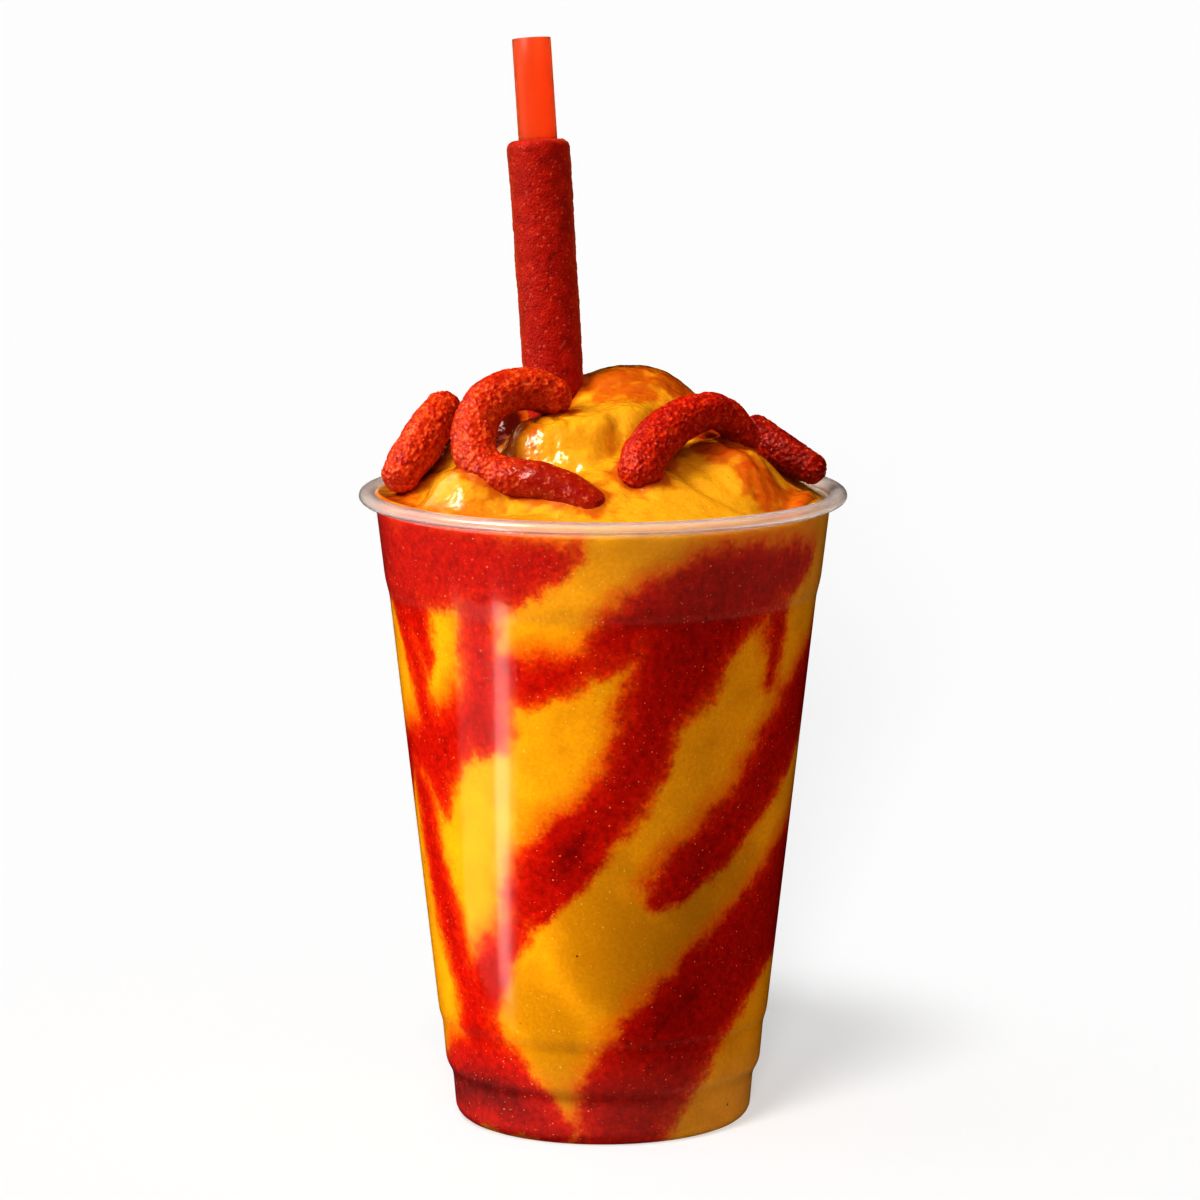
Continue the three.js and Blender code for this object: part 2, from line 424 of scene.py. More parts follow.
@dataclass(frozen=True)
class Patches:
    """Soft random patches: their width in millimetres, the spread of their values and their finer layers."""

    width: float
    amount: float
    detail: float = 3.0

    def around(self, tree: Tree, middle: float = 0.0) -> Node:
        """Add the nodes that give values up to about half the amount from a middle one."""
        scale = {"Vector": in_millimetres(tree), "Scale": 1 / self.width, "Detail": self.detail}
        centred = add_node(tree, "Math", {0: add_node(tree, "TexNoise", scale), 1: -0.5}, operation="ADD")
        return add_node(tree, "Math", {0: centred, 1: self.amount, 2: middle}, operation="MULTIPLY_ADD")


@dataclass(frozen=True)
class Flecks:
    """Small round flecks of uneven size.

    The spacing of the places where one may be is in millimetres. The radius of the largest is a share of the
    spacing, and a share of the places is kept. A fleck fades out over a share of the radius.
    """

    spacing: float
    radius: float
    kept: float
    edge: float = 0.01
    fading: float = 0.4

    def inside(self, tree: Tree) -> Node:
        """Add the nodes that give 1 inside a fleck and 0 outside."""
        cells = add_node(tree, "TexVoronoi", {"Vector": in_millimetres(tree), "Scale": 1 / self.spacing})
        chance = add_node(tree, "SeparateColor", {"Color": cells.outputs["Color"]})
        sizes = {"Value": chance, "From Min": 1 - self.kept, "From Max": 1.0, "To Max": self.radius}
        size = add_node(tree, "MapRange", sizes)
        depth = add_node(tree, "Math", {0: size, 1: cells.outputs["Distance"]}, operation="SUBTRACT")
        limits = {"Value": depth, "From Min": -self.edge, "From Max": self.radius * self.fading}
        return add_node(tree, "MapRange", limits, interpolation_type="SMOOTHSTEP")


@dataclass(frozen=True)
class ClearPlastic:
    """PET thermoformed from clear sheet: glossy on both faces, with light going through.

    The wet filling takes most of the wall's reflections away, so its IOR is lower than PET's own 1.57. The
    rolled rim is thicker, with many faces behind each other, and looks milky. Light is let through for
    shadows, so that the filling is lit as it is through a real thin wall. The piece's haze is the share of
    white mixed into the sheet as a painted reflection.
    """

    name: str
    clearness: float
    tint: str = "#fbfdfd"
    ior: float = 1.4
    roughness: float = 0.16
    shadow: str = "#f4f6f6"
    reflection_white: str = "#f4f4f4"

    def make(self) -> bpy.types.Material:
        """Build the material."""
        material, tree, shader = new_material(
            self.name,
            Base_Color=self.tint,
            Roughness=self.roughness,
            IOR=self.ior,
            Transmission_Weight=self.clearness,
        )
        path = add_node(tree, "LightPath")
        clear = add_node(tree, "BsdfTransparent", {"Color": self.shadow})
        haze = add_node(tree, "Attribute", attribute_name="haze")
        reflection_white = add_node(tree, "BsdfDiffuse", {"Color": self.reflection_white})
        # painted reflection: white mixed in by the piece's haze
        painted_reflection = add_node(tree, "MixShader", {0: haze.outputs["Fac"], 1: shader, 2: reflection_white})
        lit = add_node(tree, "MixShader", {0: path.outputs["Is Shadow Ray"], 1: painted_reflection, 2: clear})
        set_inputs(tree, tree.nodes["Material Output"], {"Surface": lit})
        return material


@dataclass(frozen=True)
class BlendedDrink:
    """Blended mango and ice with a chilli sauce swirled in: opaque, with a little light getting in.

    Fine pulp, pale fibres and air bubbles fleck it. The piece's swirl and bleed are depths in millimetres.
    Its shade patch is painted shade: darker mango and deeper red sauce low on the wall.
    """

    mango: str = "#e5a61a"
    ripe_and_shaded_mango: str = "#c48a10"
    bleed_colour: str = "#d8620e"
    pale_fleck: str = "#ffd898"
    dark_fleck: str = "#481402"
    stops: Stops = (
        (0.0, "#da7c10"),
        (0.1, "#d05a0c"),
        (0.22, "#c2340c"),
        (0.36, "#b6200c"),
        (0.7, "#a8190b"),
        (1.0, "#780c06"),
    )
    feather: tuple[Patches, Patches] = (Patches(3.2, 4.2), Patches(0.8, 1.6, 2.0))
    ripening: Patches = Patches(7.0, 1.4)
    mottle: Patches = Patches(1.4, 1.1, 4.0)
    grain: Patches = Patches(0.7, 0.35, 2.0)
    pale_flecks: tuple[Flecks, Flecks] = (Flecks(1.4, 0.17, 0.8), Flecks(0.75, 0.2, 0.7))
    pale_share: float = 0.36
    dark_flecks: Flecks = Flecks(5.0, 0.06, 0.6)
    darker_mango_edge: Span = (-0.3, 1.0)
    bleed_edge: Span = (-4.0, 2.0)
    bleed_share: float = 0.8
    swirl_edge: Span = (-2.8, 0.6)
    deepening: Span = (-2.0, 12.0)
    shade_patch_depth: float = 6.0

    def body_colour(self, tree: Tree) -> Node:
        """The mango, the sauce swirled into it, and the flecks in both."""
        swirl, bleed, shade_patch = (
            add_node(tree, "Attribute", attribute_name=painted).outputs["Fac"]
            for painted in ("swirl", "bleed", "shade_patch")
        )
        wide, fine = (patches.around(tree) for patches in self.feather)
        feather = add_node(tree, "Math", {0: wide, 1: fine}, operation="ADD")
        depth = add_node(tree, "Math", {0: swirl, 1: feather}, operation="ADD")
        bleed_depth = add_node(tree, "Math", {0: bleed, 1: feather}, operation="ADD")
        # darker mango in random ripe patches, and as painted shade inside the shade patches
        uneven = add_node(tree, "Math", {0: shade_patch, 1: self.ripening.around(tree)}, operation="ADD")
        mango = lay_over(tree, self.mango, self.ripe_and_shaded_mango, uneven, self.darker_mango_edge)
        warm = lay_over(tree, mango, self.bleed_colour, bleed_depth, self.bleed_edge, self.bleed_share)
        # painted shade: the sauce turns a deeper red inside the shade patches
        deeper = add_node(tree, "Math", {0: shade_patch, 1: self.shade_patch_depth, 2: depth}, operation="MULTIPLY_ADD")
        limits = {"Value": deeper, "From Min": self.deepening[0], "From Max": self.deepening[1]}
        red = add_node(tree, "ValToRGB", {0: add_node(tree, "MapRange", limits)}, stops=self.stops)
        mottled = add_node(tree, "HueSaturation", {"Color": red, "Value": self.mottle.around(tree, 1.0)})
        body = lay_over(tree, warm, mottled, depth, self.swirl_edge)
        grained = add_node(tree, "HueSaturation", {"Color": body, "Value": self.grain.around(tree, 1.0)})
        coarse, small = (flecks.inside(tree) for flecks in self.pale_flecks)
        pale = add_node(tree, "Math", {0: coarse, 1: small}, operation="MAXIMUM")
        share = add_node(tree, "Math", {0: pale, 1: self.pale_share}, operation="MULTIPLY")
        flecked = add_node(tree, "Mix", {0: share, 6: grained, 7: self.pale_fleck}, data_type="RGBA")
        dark = self.dark_flecks.inside(tree)
        return add_node(tree, "Mix", {0: dark, 6: flecked, 7: self.dark_fleck}, data_type="RGBA")


@dataclass(frozen=True)
class DrinkInCup(BlendedDrink):
    """The drink behind the wall. It wets the plastic, so it has no gloss of its own."""

    def make(self) -> bpy.types.Material:
        """Build the material."""
        material, tree, shader = new_material(
            "blended_mango_and_chamoy_in_cup",
            Roughness=0.9,
            Specular_IOR_Level=0.0,
            Subsurface_Weight=0.15,
            Subsurface_Scale=1.5 * MM,
            Subsurface_Radius=FRUIT_SCATTER,
        )
        set_inputs(tree, shader, {"Base Color": self.body_colour(tree)})
        return material


@dataclass(frozen=True)
class DrinkInAir(BlendedDrink):
    """The open mound of the drink: wet and lumpy with pulp, with thin sauce run over it in streaks.

    The piece's sauce is 0 for none, about 1 for a thin film and 2 for a smoother pool, painted dark as shade
    in the gaps behind the curled worm and under the arched worm.
    """

    mango: str = "#e2a624"
    ripe_and_shaded_mango: str = "#cc9412"
    sauce_thin: str = "#c05a0c"
    sauce_thick: str = "#b4340a"
    # painted shade: the colour of the dark pools in the gaps behind and under the candy
    shade_pool_colour: str = "#540d04"
    washing: Patches = Patches(3.0, 1.6, 4.0)
    pulp: tuple[Patches, Patches] = (Patches(1.7, 1.1, 1.0), Patches(0.8, 0.5, 0.5))
    pulp_height: float = 0.4
    pulp_strength: float = 0.35
    fibre_width: float = 1.1
    fibre_turn: float = 25.0
    fibre_stretch: Triple = (0.22, 1.0, 0.7)
    wash_edge: Span = (0.25, 0.9)
    wash_share: float = 0.85
    fibre_edge: Span = (0.46, 0.74)
    fibre_share: float = 0.6
    shade_pool_edge: Span = (1.3, 2.2)
    shade_pool_share: float = 0.95
    roughness: float = 0.26
    shade_pool_roughness: float = 0.14

    def fibres(self, tree: Tree) -> Node:
        """Add the nodes that draw fibres out in one direction."""
        turn = (0, 0, math.radians(self.fibre_turn))
        ways = {"Vector": in_millimetres(tree), "Rotation": turn, "Scale": self.fibre_stretch}
        drawn_out = add_node(tree, "Mapping", ways)
        return add_node(tree, "TexNoise", {"Vector": drawn_out, "Scale": 1 / self.fibre_width, "Detail": 2.0})

    def make(self) -> bpy.types.Material:
        """Build the material."""
        material, tree, shader = new_material(
            "blended_mango_and_chamoy_in_air",
            IOR=1.34,
            Coat_Roughness=0.16,
            Coat_IOR=1.33,
            Subsurface_Weight=0.4,
            Subsurface_Scale=2.0 * MM,
            Subsurface_Radius=FRUIT_SCATTER,
        )
        sauce = add_node(tree, "Attribute", attribute_name="sauce").outputs["Fac"]
        wash = add_node(tree, "Math", {0: sauce, 1: self.washing.around(tree)}, operation="ADD")
        fibres = add_node(tree, "Math", {0: self.fibres(tree), 1: sauce}, operation="MULTIPLY")
        thin = lay_over(tree, self.body_colour(tree), self.sauce_thin, wash, self.wash_edge, self.wash_share)
        thick = lay_over(tree, thin, self.sauce_thick, fibres, self.fibre_edge, self.fibre_share)
        # painted shade: past this edge the sauce turns into a dark, smoother pool
        starts, ends = self.shade_pool_edge
        limits = {"Value": wash, "From Min": starts, "From Max": ends, "To Max": self.shade_pool_share}
        shade_pool = add_node(tree, "MapRange", limits, interpolation_type="SMOOTHSTEP")
        sheer = {0: shade_pool, 1: self.shade_pool_roughness - self.roughness, 2: self.roughness}
        coarse, fine = (patches.around(tree) for patches in self.pulp)
        pulp = add_node(tree, "Math", {0: coarse, 1: fine}, operation="ADD")
        pulp_up = {"Height": pulp, "Distance": self.pulp_height * MM, "Strength": self.pulp_strength}
        bump = add_node(tree, "Bump", pulp_up)
        look = {
            "Base Color": add_node(tree, "Mix", {0: shade_pool, 6: thick, 7: self.shade_pool_colour}, data_type="RGBA"),
            "Coat Weight": add_node(tree, "Math", {0: 1.0, 1: shade_pool}, operation="SUBTRACT"),
            "Roughness": add_node(tree, "Math", sheer, operation="MULTIPLY_ADD"),
            "Normal": bump,
            "Coat Normal": bump,
        }
        set_inputs(tree, shader, look)
        return material


@dataclass(frozen=True)
class StrawPlastic:
    """Orange red polypropylene, extruded: glossy, and lit up a little by light inside its thin wall.

    Its IOR is lower than polypropylene's own 1.49, which gives the even colour of the straw in the photo.
    The lines that the die leaves along it are finer in the real straw, and are drawn wider here so that
    they show.
    """

    colour: str = "#ff9763"
    line_spacing: float = 0.5
    line_length: float = 33.3

    def make(self) -> bpy.types.Material:
        """Build the material."""
        material, tree, shader = new_material(
            "extruded_polypropylene",
            Base_Color=self.colour,
            Roughness=0.42,
            IOR=1.2,
            Transmission_Weight=0.94,
            Subsurface_Weight=0.6,
            Subsurface_Scale=2.0 * MM,
            Subsurface_Radius=(1.0, 0.4, 0.2),
        )
        scale = (1 / self.line_spacing, 1 / self.line_spacing, 1 / self.line_length)
        lines = add_node(tree, "Mapping", {"Vector": in_millimetres(tree), "Scale": scale})
        drawn = add_node(tree, "TexNoise", {"Vector": lines, "Scale": 1.0, "Detail": 2.0})
        bump = add_node(tree, "Bump", {"Height": drawn, "Distance": 0.04 * MM, "Strength": 0.4})
        set_inputs(tree, shader, {"Normal": bump})
        return material


@dataclass(frozen=True)
class TamarindPaste:
    """Tamarind pulp kneaded with chilli and sugar and rolled on by hand: fine grained and dull."""

    stops: Stops = ((0.2, "#7c0c03"), (0.5, "#ae1a06"), (0.8, "#c83412"))
    sugar_glint: str = "#f0a080"
    sugar_glint_share: float = 0.18
    patch: float = 3.0
    grain: float = 0.45

    def make(self) -> bpy.types.Material:
        """Build the material."""
        material, tree, shader = new_material(
            "tamarind_paste",
            IOR=1.45,
            Specular_IOR_Level=0.2,
            Roughness=0.6,
            Sheen_Weight=0.7,
            Sheen_Roughness=0.4,
            Sheen_Tint="#ff9a60",
            Subsurface_Weight=0.08,
            Subsurface_Scale=1.0 * MM,
        )
        place = in_millimetres(tree)
        kneading = {"Vector": place, "Scale": 1 / self.patch, "Detail": 6.0, "Roughness": 0.72}
        colour = add_node(tree, "ValToRGB", {0: add_node(tree, "TexNoise", kneading)}, stops=self.stops)
        cells = add_node(tree, "TexVoronoi", {"Vector": place, "Scale": 1 / self.grain})
        chance = add_node(tree, "SeparateColor", {"Color": cells.outputs["Color"]})
        # a few grains painted pale, partly as sugar and partly as painted glints
        few = {"Value": chance, "From Min": FEW[0], "From Max": FEW[1], "To Max": self.sugar_glint_share}
        share = add_node(tree, "MapRange", few)
        with_sugar_glints = add_node(tree, "Mix", {0: share, 6: colour, 7: self.sugar_glint}, data_type="RGBA")
        grains_up = {"Height": cells.outputs["Distance"], "Distance": 0.12 * MM}
        look = {"Base Color": with_sugar_glints, "Normal": add_node(tree, "Bump", grains_up, invert=True)}
        set_inputs(tree, shader, look)
        return material


@dataclass(frozen=True)
class ChilliCrust:
    """Soft candy rolled in chilli sugar: translucent red grains that glint, darker where the drink wets it.

    The piece's tone is each grain's random number. Its hollow is 1 between grains, where the colour takes
    painted shade, and its wet is 1 where the drink has soaked it. A few facets are painted pale, partly as
    sugar crystals and partly as painted glints.
    """

    name: str
    stops: Stops
    wet_and_shade_colour: str = "#8c1006"
    sugar_glint: str = "#ffb48c"
    sugar_glint_share: float = 0.22
    hollow_shade_share: float = 0.22
    wet_share: float = 0.7
    dry_roughness: float = 0.38
    wet_roughness: float = 0.3
    film: float = 0.15
    patch: float = 2.2
    crystal: float = 0.42

    def make(self) -> bpy.types.Material:
        """Build the material."""
        material, tree, shader = new_material(
            self.name,
            IOR=1.42,
            Specular_IOR_Level=0.35,
            Subsurface_Weight=0.45,
            Subsurface_Scale=1.1 * MM,
            Subsurface_Radius=(1.0, 0.25, 0.08),
            Coat_Roughness=0.12,
            Sheen_Weight=0.15,
            Sheen_Roughness=0.4,
            Sheen_Tint="#ff8a50",
        )
        place = in_millimetres(tree)
        tone, hollow, wet = (
            add_node(tree, "Attribute", attribute_name=painted).outputs["Fac"]
            for painted in ("tone", "hollow", "wet")
        )
        patches = add_node(tree, "TexNoise", {"Vector": place, "Scale": 1 / self.patch, "Detail": 3.0})
        both = add_node(tree, "Math", {0: tone, 1: patches}, operation="ADD")
        half = add_node(tree, "Math", {0: both, 1: 0.5}, operation="MULTIPLY")
        colour = add_node(tree, "ValToRGB", {0: half}, stops=self.stops)
        # painted shade in the hollows between grains, and the real darkening where the drink has soaked the
        # crust
        for part, most in ((hollow, self.hollow_shade_share), (wet, self.wet_share)):
            share = add_node(tree, "Math", {0: part, 1: most}, operation="MULTIPLY")
            colour = add_node(tree, "Mix", {0: share, 6: colour, 7: self.wet_and_shade_colour}, data_type="RGBA")
        facets = add_node(tree, "TexVoronoi", {"Vector": place, "Scale": 1 / self.crystal})
        chance = add_node(tree, "SeparateColor", {"Color": facets.outputs["Color"]})
        ends = {"Value": wet, "To Min": self.dry_roughness, "To Max": self.wet_roughness}
        facets_up = {"Height": facets.outputs["Distance"], "Distance": 0.08 * MM, "Strength": 0.4}
        look = {
            # a few facets painted pale, partly as sugar crystals and partly as painted glints
            "Base Color": lay_over(tree, colour, self.sugar_glint, chance, FEW, self.sugar_glint_share),
            "Roughness": add_node(tree, "MapRange", ends),
            "Coat Weight": add_node(tree, "Math", {0: wet, 1: self.film}, operation="MULTIPLY"),
            "Normal": add_node(tree, "Bump", facets_up, invert=True),
        }
        set_inputs(tree, shader, look)
        return material


# The cup


@dataclass(frozen=True)
class ClearCup:
    """The thermoformed cup: foot ring, two shoulders, stacking step and a rim rolled outwards.

    The haze is a painted reflection. A ring of it has a height, a width and the most haze in it. A band of
    it has a height where it is clear, one where it is full and the most haze.
    """

    rim_radius: float = 49.0
    bead_half_width: float = 1.75
    bead_half_height: float = 1.35
    wall: float = 0.45
    panel_radius: float = 22.5
    panel_lift: float = 0.9
    ring_radius: float = 24.5
    flat_radius: float = 27.0
    corner: float = 3.0
    side_corners: tuple[tuple[float, float], ...] = (
        (30.55, 9.2),
        (31.9, 11.7),
        (32.6, 19.7),
        (33.35, 22.1),
        (42.95, 107.2),
        (43.85, 110.8),
        (45.5, COLLAR_HEIGHT),
    )
    fillet: float = 1.1
    reflection_rings: tuple[Triple, ...] = ((108.6, 0.7, 0.03), (11.2, 0.6, 0.02), (21.4, 0.6, 0.02))
    reflection_bands: tuple[Triple, ...] = ((106.0, 111.0, 0.018), (22.0, 8.0, 0.03))
    more_reflection_right: float = 1.6
    right_side: Span = (-10.0, 30.0)
    corner_steps: int = 6
    roll_steps: int = 28
    segments: int = 256

    def side(self) -> Outline:
        """The outer face from the foot's corner up to the top of the collar."""
        turns = [step / self.corner_steps * math.pi / 2 for step in range(self.corner_steps + 1)]
        corner = [
            (self.flat_radius + self.corner * math.sin(turn), self.corner * (1 - math.cos(turn)))
            for turn in turns
        ]
        return corner[:-1] + rounded([corner[-1], *self.side_corners], self.fillet)

    def radius_at(self, heights: np.ndarray) -> np.ndarray:
        """The outer face's radius at some heights."""
        side = np.array(self.side())
        return np.interp(heights, side[:, 1], side[:, 0])

    def sheet(self) -> Outline:
        """The middle line of the plastic, from the foot's corner to the end of the rolled rim."""
        wall_line = beside(self.side(), -self.wall / 2)
        middle = self.rim_radius - self.bead_half_width
        first, last = 180, -125
        roll = [
            (
                middle + (self.bead_half_width - self.wall / 2) * math.cos(math.radians(angle)),
                RIM_HEIGHT + (self.bead_half_height - self.wall / 2) * math.sin(math.radians(angle)),
            )
            for angle in np.linspace(first, last, self.roll_steps)
        ]
        return wall_line + roll

    def floor(self, lift: float) -> Outline:
        """The lifted panel in the foot and the slope round it, with all of it raised by a lift."""
        panel = self.panel_lift + lift
        return [(0.0, panel), (self.panel_radius, panel), (self.ring_radius, lift)]

    def haze(self, points: np.ndarray) -> np.ndarray:
        """How much painted reflection the sheet takes at some points, from 0 to 1.

        Most at the stacking step, the shoulders, the collar and the foot, and more on the right side.
        """
        heights = points[:, 2]
        painted_reflection = np.zeros(len(points))
        for middle, width, most in self.reflection_rings:
            painted_reflection += most * np.exp(-(((heights - middle) / width) ** 2))
        for clear, full, most in self.reflection_bands:
            painted_reflection += most * smooth_step(heights, clear, full)
        return painted_reflection * (1 + self.more_reflection_right * smooth_step(points[:, 0], *self.right_side))

    def build(self) -> bpy.types.Object:
        """Turn the cup's wall and dress it."""
        sheet = self.sheet()
        outer = self.floor(0.0) + beside(sheet, self.wall / 2)
        inner = self.floor(self.wall) + beside(sheet, -self.wall / 2)
        piece = Piece("clear_cup", turned(outer + inner[::-1], self.segments))
        piece.take_second_finish(lambda middles: middles[:, 2] > RIM_HEIGHT - self.bead_half_height)
        # painted reflection on the wall, in rings and bands
        piece.paint("haze", self.haze(piece.points))
        wall = ClearPlastic("clear_pet", clearness=1.0)
        rim = ClearPlastic("clear_pet_rolled", clearness=0.91, tint="#f9efe9")
        return piece.finish(Slot.CUP, "cup", wall.make(), rim.make())


# The straw and its coating


@dataclass(frozen=True)
class StrawLine:
    """The line that the straw and its coating follow, leaning a little to the left and to the back."""

    at_surface: Triple = (-9.6, 3.0, 18.0)
    lean: Triple = (-0.066, 0.14, 1.0)

    def point(self, rise: float) -> Vector:
        """The point of the line at a height above the rim."""
        start = Vector(self.at_surface)
        return start + Vector(self.lean) * (rise - start.z) + Vector((0, 0, RIM_HEIGHT))

    def length(self, low: float, high: float) -> float:
        """The length between two heights above the rim."""
        return (self.point(high) - self.point(low)).length

    def put(self, shape: bmesh.types.BMesh, low: float) -> None:
        """Lean a shape that stands on the origin onto the line, with its foot at a height above the rim."""
        turn = Vector((0, 0, 1)).rotation_difference(Vector(self.lean)).to_matrix()
        bmesh.ops.transform(
            shape, matrix=Matrix.Translation(self.point(low)) @ turn.to_4x4(), verts=shape.verts
        )


@dataclass(frozen=True)
class Straw:
    """The orange red drinking straw."""

    line: StrawLine
    radius: float = 3.9
    wall: float = 0.3
    top: float = 90.4
    bottom: float = -119.5
    row: float = 6.0
    segments: int = 72

    def build(self) -> bpy.types.Object:
        """Turn the tube, with its two cut ends a little rounded."""
        length = self.line.length(self.bottom, self.top)
        rows = [row / round(length / self.row) * length for row in range(1, round(length / self.row))]
        bore = self.radius - self.wall
        edge = self.wall / 3
        outline = [(bore, length - edge), (bore + edge, length), (self.radius - edge, length)]
        outline += [(self.radius, height) for height in [length - edge, *reversed(rows), edge]]
        outline += [(self.radius - edge, 0.0), (bore + edge, 0.0), (bore, edge)]
        shape = turned(outline, self.segments, closed=True)
        self.line.put(shape, self.bottom)
        return Piece("drinking_straw", shape).finish(Slot.STRAW, "straw", StrawPlastic().make())


@dataclass(frozen=True)
class StrawCoating:
    """The sleeve of tamarind candy pressed round the straw by hand."""

    line: StrawLine
    low_radius: float = 5.9
    middle_radius: float = 6.1
    top_radius: float = 6.3
    bore: float = 3.8
    top: float = 70.2
    bottom: float = 3.0
    shoulder: float = 1.7
    shoulder_steps: int = 8
    row: float = 0.3
    segments: int = 132
    ripples: tuple[Ripple, ...] = (Ripple(0.16, 6.0, 2), Ripple(0.1, 1.6, 2, 3.0), Ripple(0.07, 0.55, 2, 7.0))

    def build(self) -> bpy.types.Object:
        """Turn the sleeve, roughen it and dress it."""
        length = self.line.length(self.bottom, self.top)
        straight = length - self.shoulder
        heights = np.linspace(0, straight, round(straight / self.row))
        radii = np.interp(
            heights, [0, straight / 2, straight], [self.low_radius, self.middle_radius, self.top_radius]
        )
        outline = [(self.bore, length), *self.shoulder_curve(length), *zip(radii[::-1], heights[::-1])]
        outline.append((self.bore, 0.0))
        outline = [(float(radius), float(height)) for radius, height in outline]
        shape = turned(outline, self.segments, closed=True)
        self.line.put(shape, self.bottom)
        piece = Piece("tamarind_coating", shape)
        points = piece.points
        wobble = sum(ripple.at(points) for ripple in self.ripples)
        lean = Vector(self.line.lean).normalized()
        axis_gap = np.linalg.norm(np.cross(points - self.line.point(0), lean), axis=1)
        wobble *= smooth_step(axis_gap, self.bore, self.bore + 1)
        piece.points = points + piece.normals * wobble[:, None]
        return piece.finish(Slot.COATING, "straw_coating", TamarindPaste().make())

    def shoulder_curve(self, length: float) -> Outline:
        """The rounded top edge, from its flat top outwards."""
        turns = [step / self.shoulder_steps * math.pi / 2 for step in range(self.shoulder_steps)]
        middle = self.top_radius - self.shoulder
        return [
            (middle + self.shoulder * math.sin(turn), length - self.shoulder * (1 - math.cos(turn)))
            for turn in turns
        ]


# The candy worms


@dataclass(frozen=True)
class CandyWorm:
    """A soft candy worm crusted in chilli sugar, laid along a path of places above the rim.

    It is wet past a share of its length, where the drink has dissolved most of its crust.
    """

    name: str
    node: str
    radii: tuple[float, ...]
    path: tuple[Triple, ...]
    crust_finish: ChilliCrust
    wet_from: float = 2.0
    wet_span: float = 0.2
    wet_edge: Ripple = Ripple(0.06, 4.0, 2)
    dissolved: float = 0.8
    grain: float = 0.85
    crust: float = 0.34
    skin: float = 0.2
    hollow_edge: Span = (0.05, 0.6)
    roughness: Ripple = Ripple(0.07, 0.6, 1, 9.0)
    bumps: Ripple = Ripple(0.22, 3.6, 2, 5.0)
    row: float = 0.2
    line_steps: int = 40
    coarse_step: int = 8

    def middle_line(self) -> tuple[np.ndarray, np.ndarray]:
        """The points of the worm's middle line, and their distances along it."""
        line = spline(np.array(self.path) + (0, 0, RIM_HEIGHT), self.line_steps)
        steps = np.linalg.norm(np.diff(line, axis=0), axis=1)
        return line, np.concatenate([[0], np.cumsum(steps)])

    def radius_at(self, share: np.ndarray) -> np.ndarray:
        """The radius at shares of the length, along which the radii lie at equal distances."""
        return np.interp(share, np.linspace(0, 1, len(self.radii)), self.radii)

    def depth(self, points: np.ndarray) -> np.ndarray:
        """How deep points lie in the worm, in steps coarse enough to be quick."""
        line, along = self.middle_line()
        coarse = slice(None, None, self.coarse_step)
        return tube_depth(points, line[coarse], self.radius_at(along / along[-1])[coarse])

    def bend(self, points: np.ndarray) -> tuple[np.ndarray, np.ndarray]:
        """Bend a straight round-ended rod of radius 1 onto the middle line.

        Args:
            points: The rod's points. Its ends reach 1 past the line's two ends.

        Returns:
            The bent points, and the share of the length at each.
        """
        line, along = self.middle_line()
        ahead = np.gradient(line, axis=0)
        ahead /= np.linalg.norm(ahead, axis=1)[:, None]
        sideways = [np.cross(ahead[0], (0, 0, 1))]
        for direction in ahead:
            carried = sideways[-1] - direction * (sideways[-1] @ direction)
            sideways.append(carried / np.linalg.norm(carried))
        sideways = sideways[1:]
        upwards = np.cross(sideways, ahead)
        place = np.clip(points[:, 2], 0, along[-1])

        def at(values: Sequence[Sequence[float]]) -> np.ndarray:
            """Values of the line at the points' places."""
            table = np.array(values)
            return np.column_stack([np.interp(place, along, table[:, column]) for column in range(3)])

        share = place / along[-1]
        radius = self.radius_at(share)[:, None]
        beyond = (points[:, 2] - place)[:, None]
        bent = at(line) + radius * (
            at(sideways) * points[:, :1] + at(upwards) * points[:, 1:2] + at(ahead) * beyond
        )
        return bent, share

    def build(self) -> bpy.types.Object:
        """Turn a rod, bend it, crust it with grains and dress it."""
        _, along = self.middle_line()
        length = float(along[-1])
        widest = max(self.radii)
        cap_steps = round(widest * math.pi / 2 / self.row)
        cap = [step / cap_steps * math.pi / 2 for step in range(cap_steps + 1)]
        outline = [(math.sin(turn), -math.cos(turn)) for turn in cap[:-1]]
        outline += [(1.0, float(height)) for height in np.linspace(0, length, round(length / self.row))]
        outline += [(math.cos(turn), length + math.sin(turn)) for turn in cap[1:]]
        outline[0], outline[-1] = (0.0, -1.0), (0.0, length + 1)
        segments = round(FULL_TURN * widest / self.row)
        piece = Piece(self.name, turned(outline, segments))
        bent, share = self.bend(piece.points)
        piece.points = bent
        nearness, tone = grains(bent, self.grain)
        wet = smooth_step(share + self.wet_edge.at(bent), self.wet_from, self.wet_from + self.wet_span)
        proud = self.crust * nearness + self.roughness.at(bent) + self.skin
        raised = proud * (1 - self.dissolved * wet) + self.bumps.at(bent)
        piece.points = bent + piece.normals * raised[:, None]
        piece.paint("tone", tone)
        # the hollows between grains, where the crust's colour takes painted shade
        piece.paint("hollow", 1 - smooth_step(nearness, *self.hollow_edge))
        piece.paint("wet", wet)
        return piece.finish(Slot.CANDY, self.node, self.crust_finish.make())


# Lit and shaded copies of one crust: painted light for the curled and the left worm, painted shade for the
# arched worm, and deeper painted shade for the right worm
LIT_CRUST = ChilliCrust("chilli_sugar_crust_painted_light", ((0.2, "#b02406"), (0.5, "#cc400e"), (0.8, "#e06628")))
SHADED_CRUST = ChilliCrust("chilli_sugar_crust_painted_shade", ((0.2, "#700c03"), (0.5, "#8e1606"), (0.8, "#b2300c")))
HALF_SHADED_CRUST = ChilliCrust("chilli_sugar_crust_painted_half_shade", ((0.2, "#981204"), (0.5, "#b62408"), (0.8, "#d2440f")))

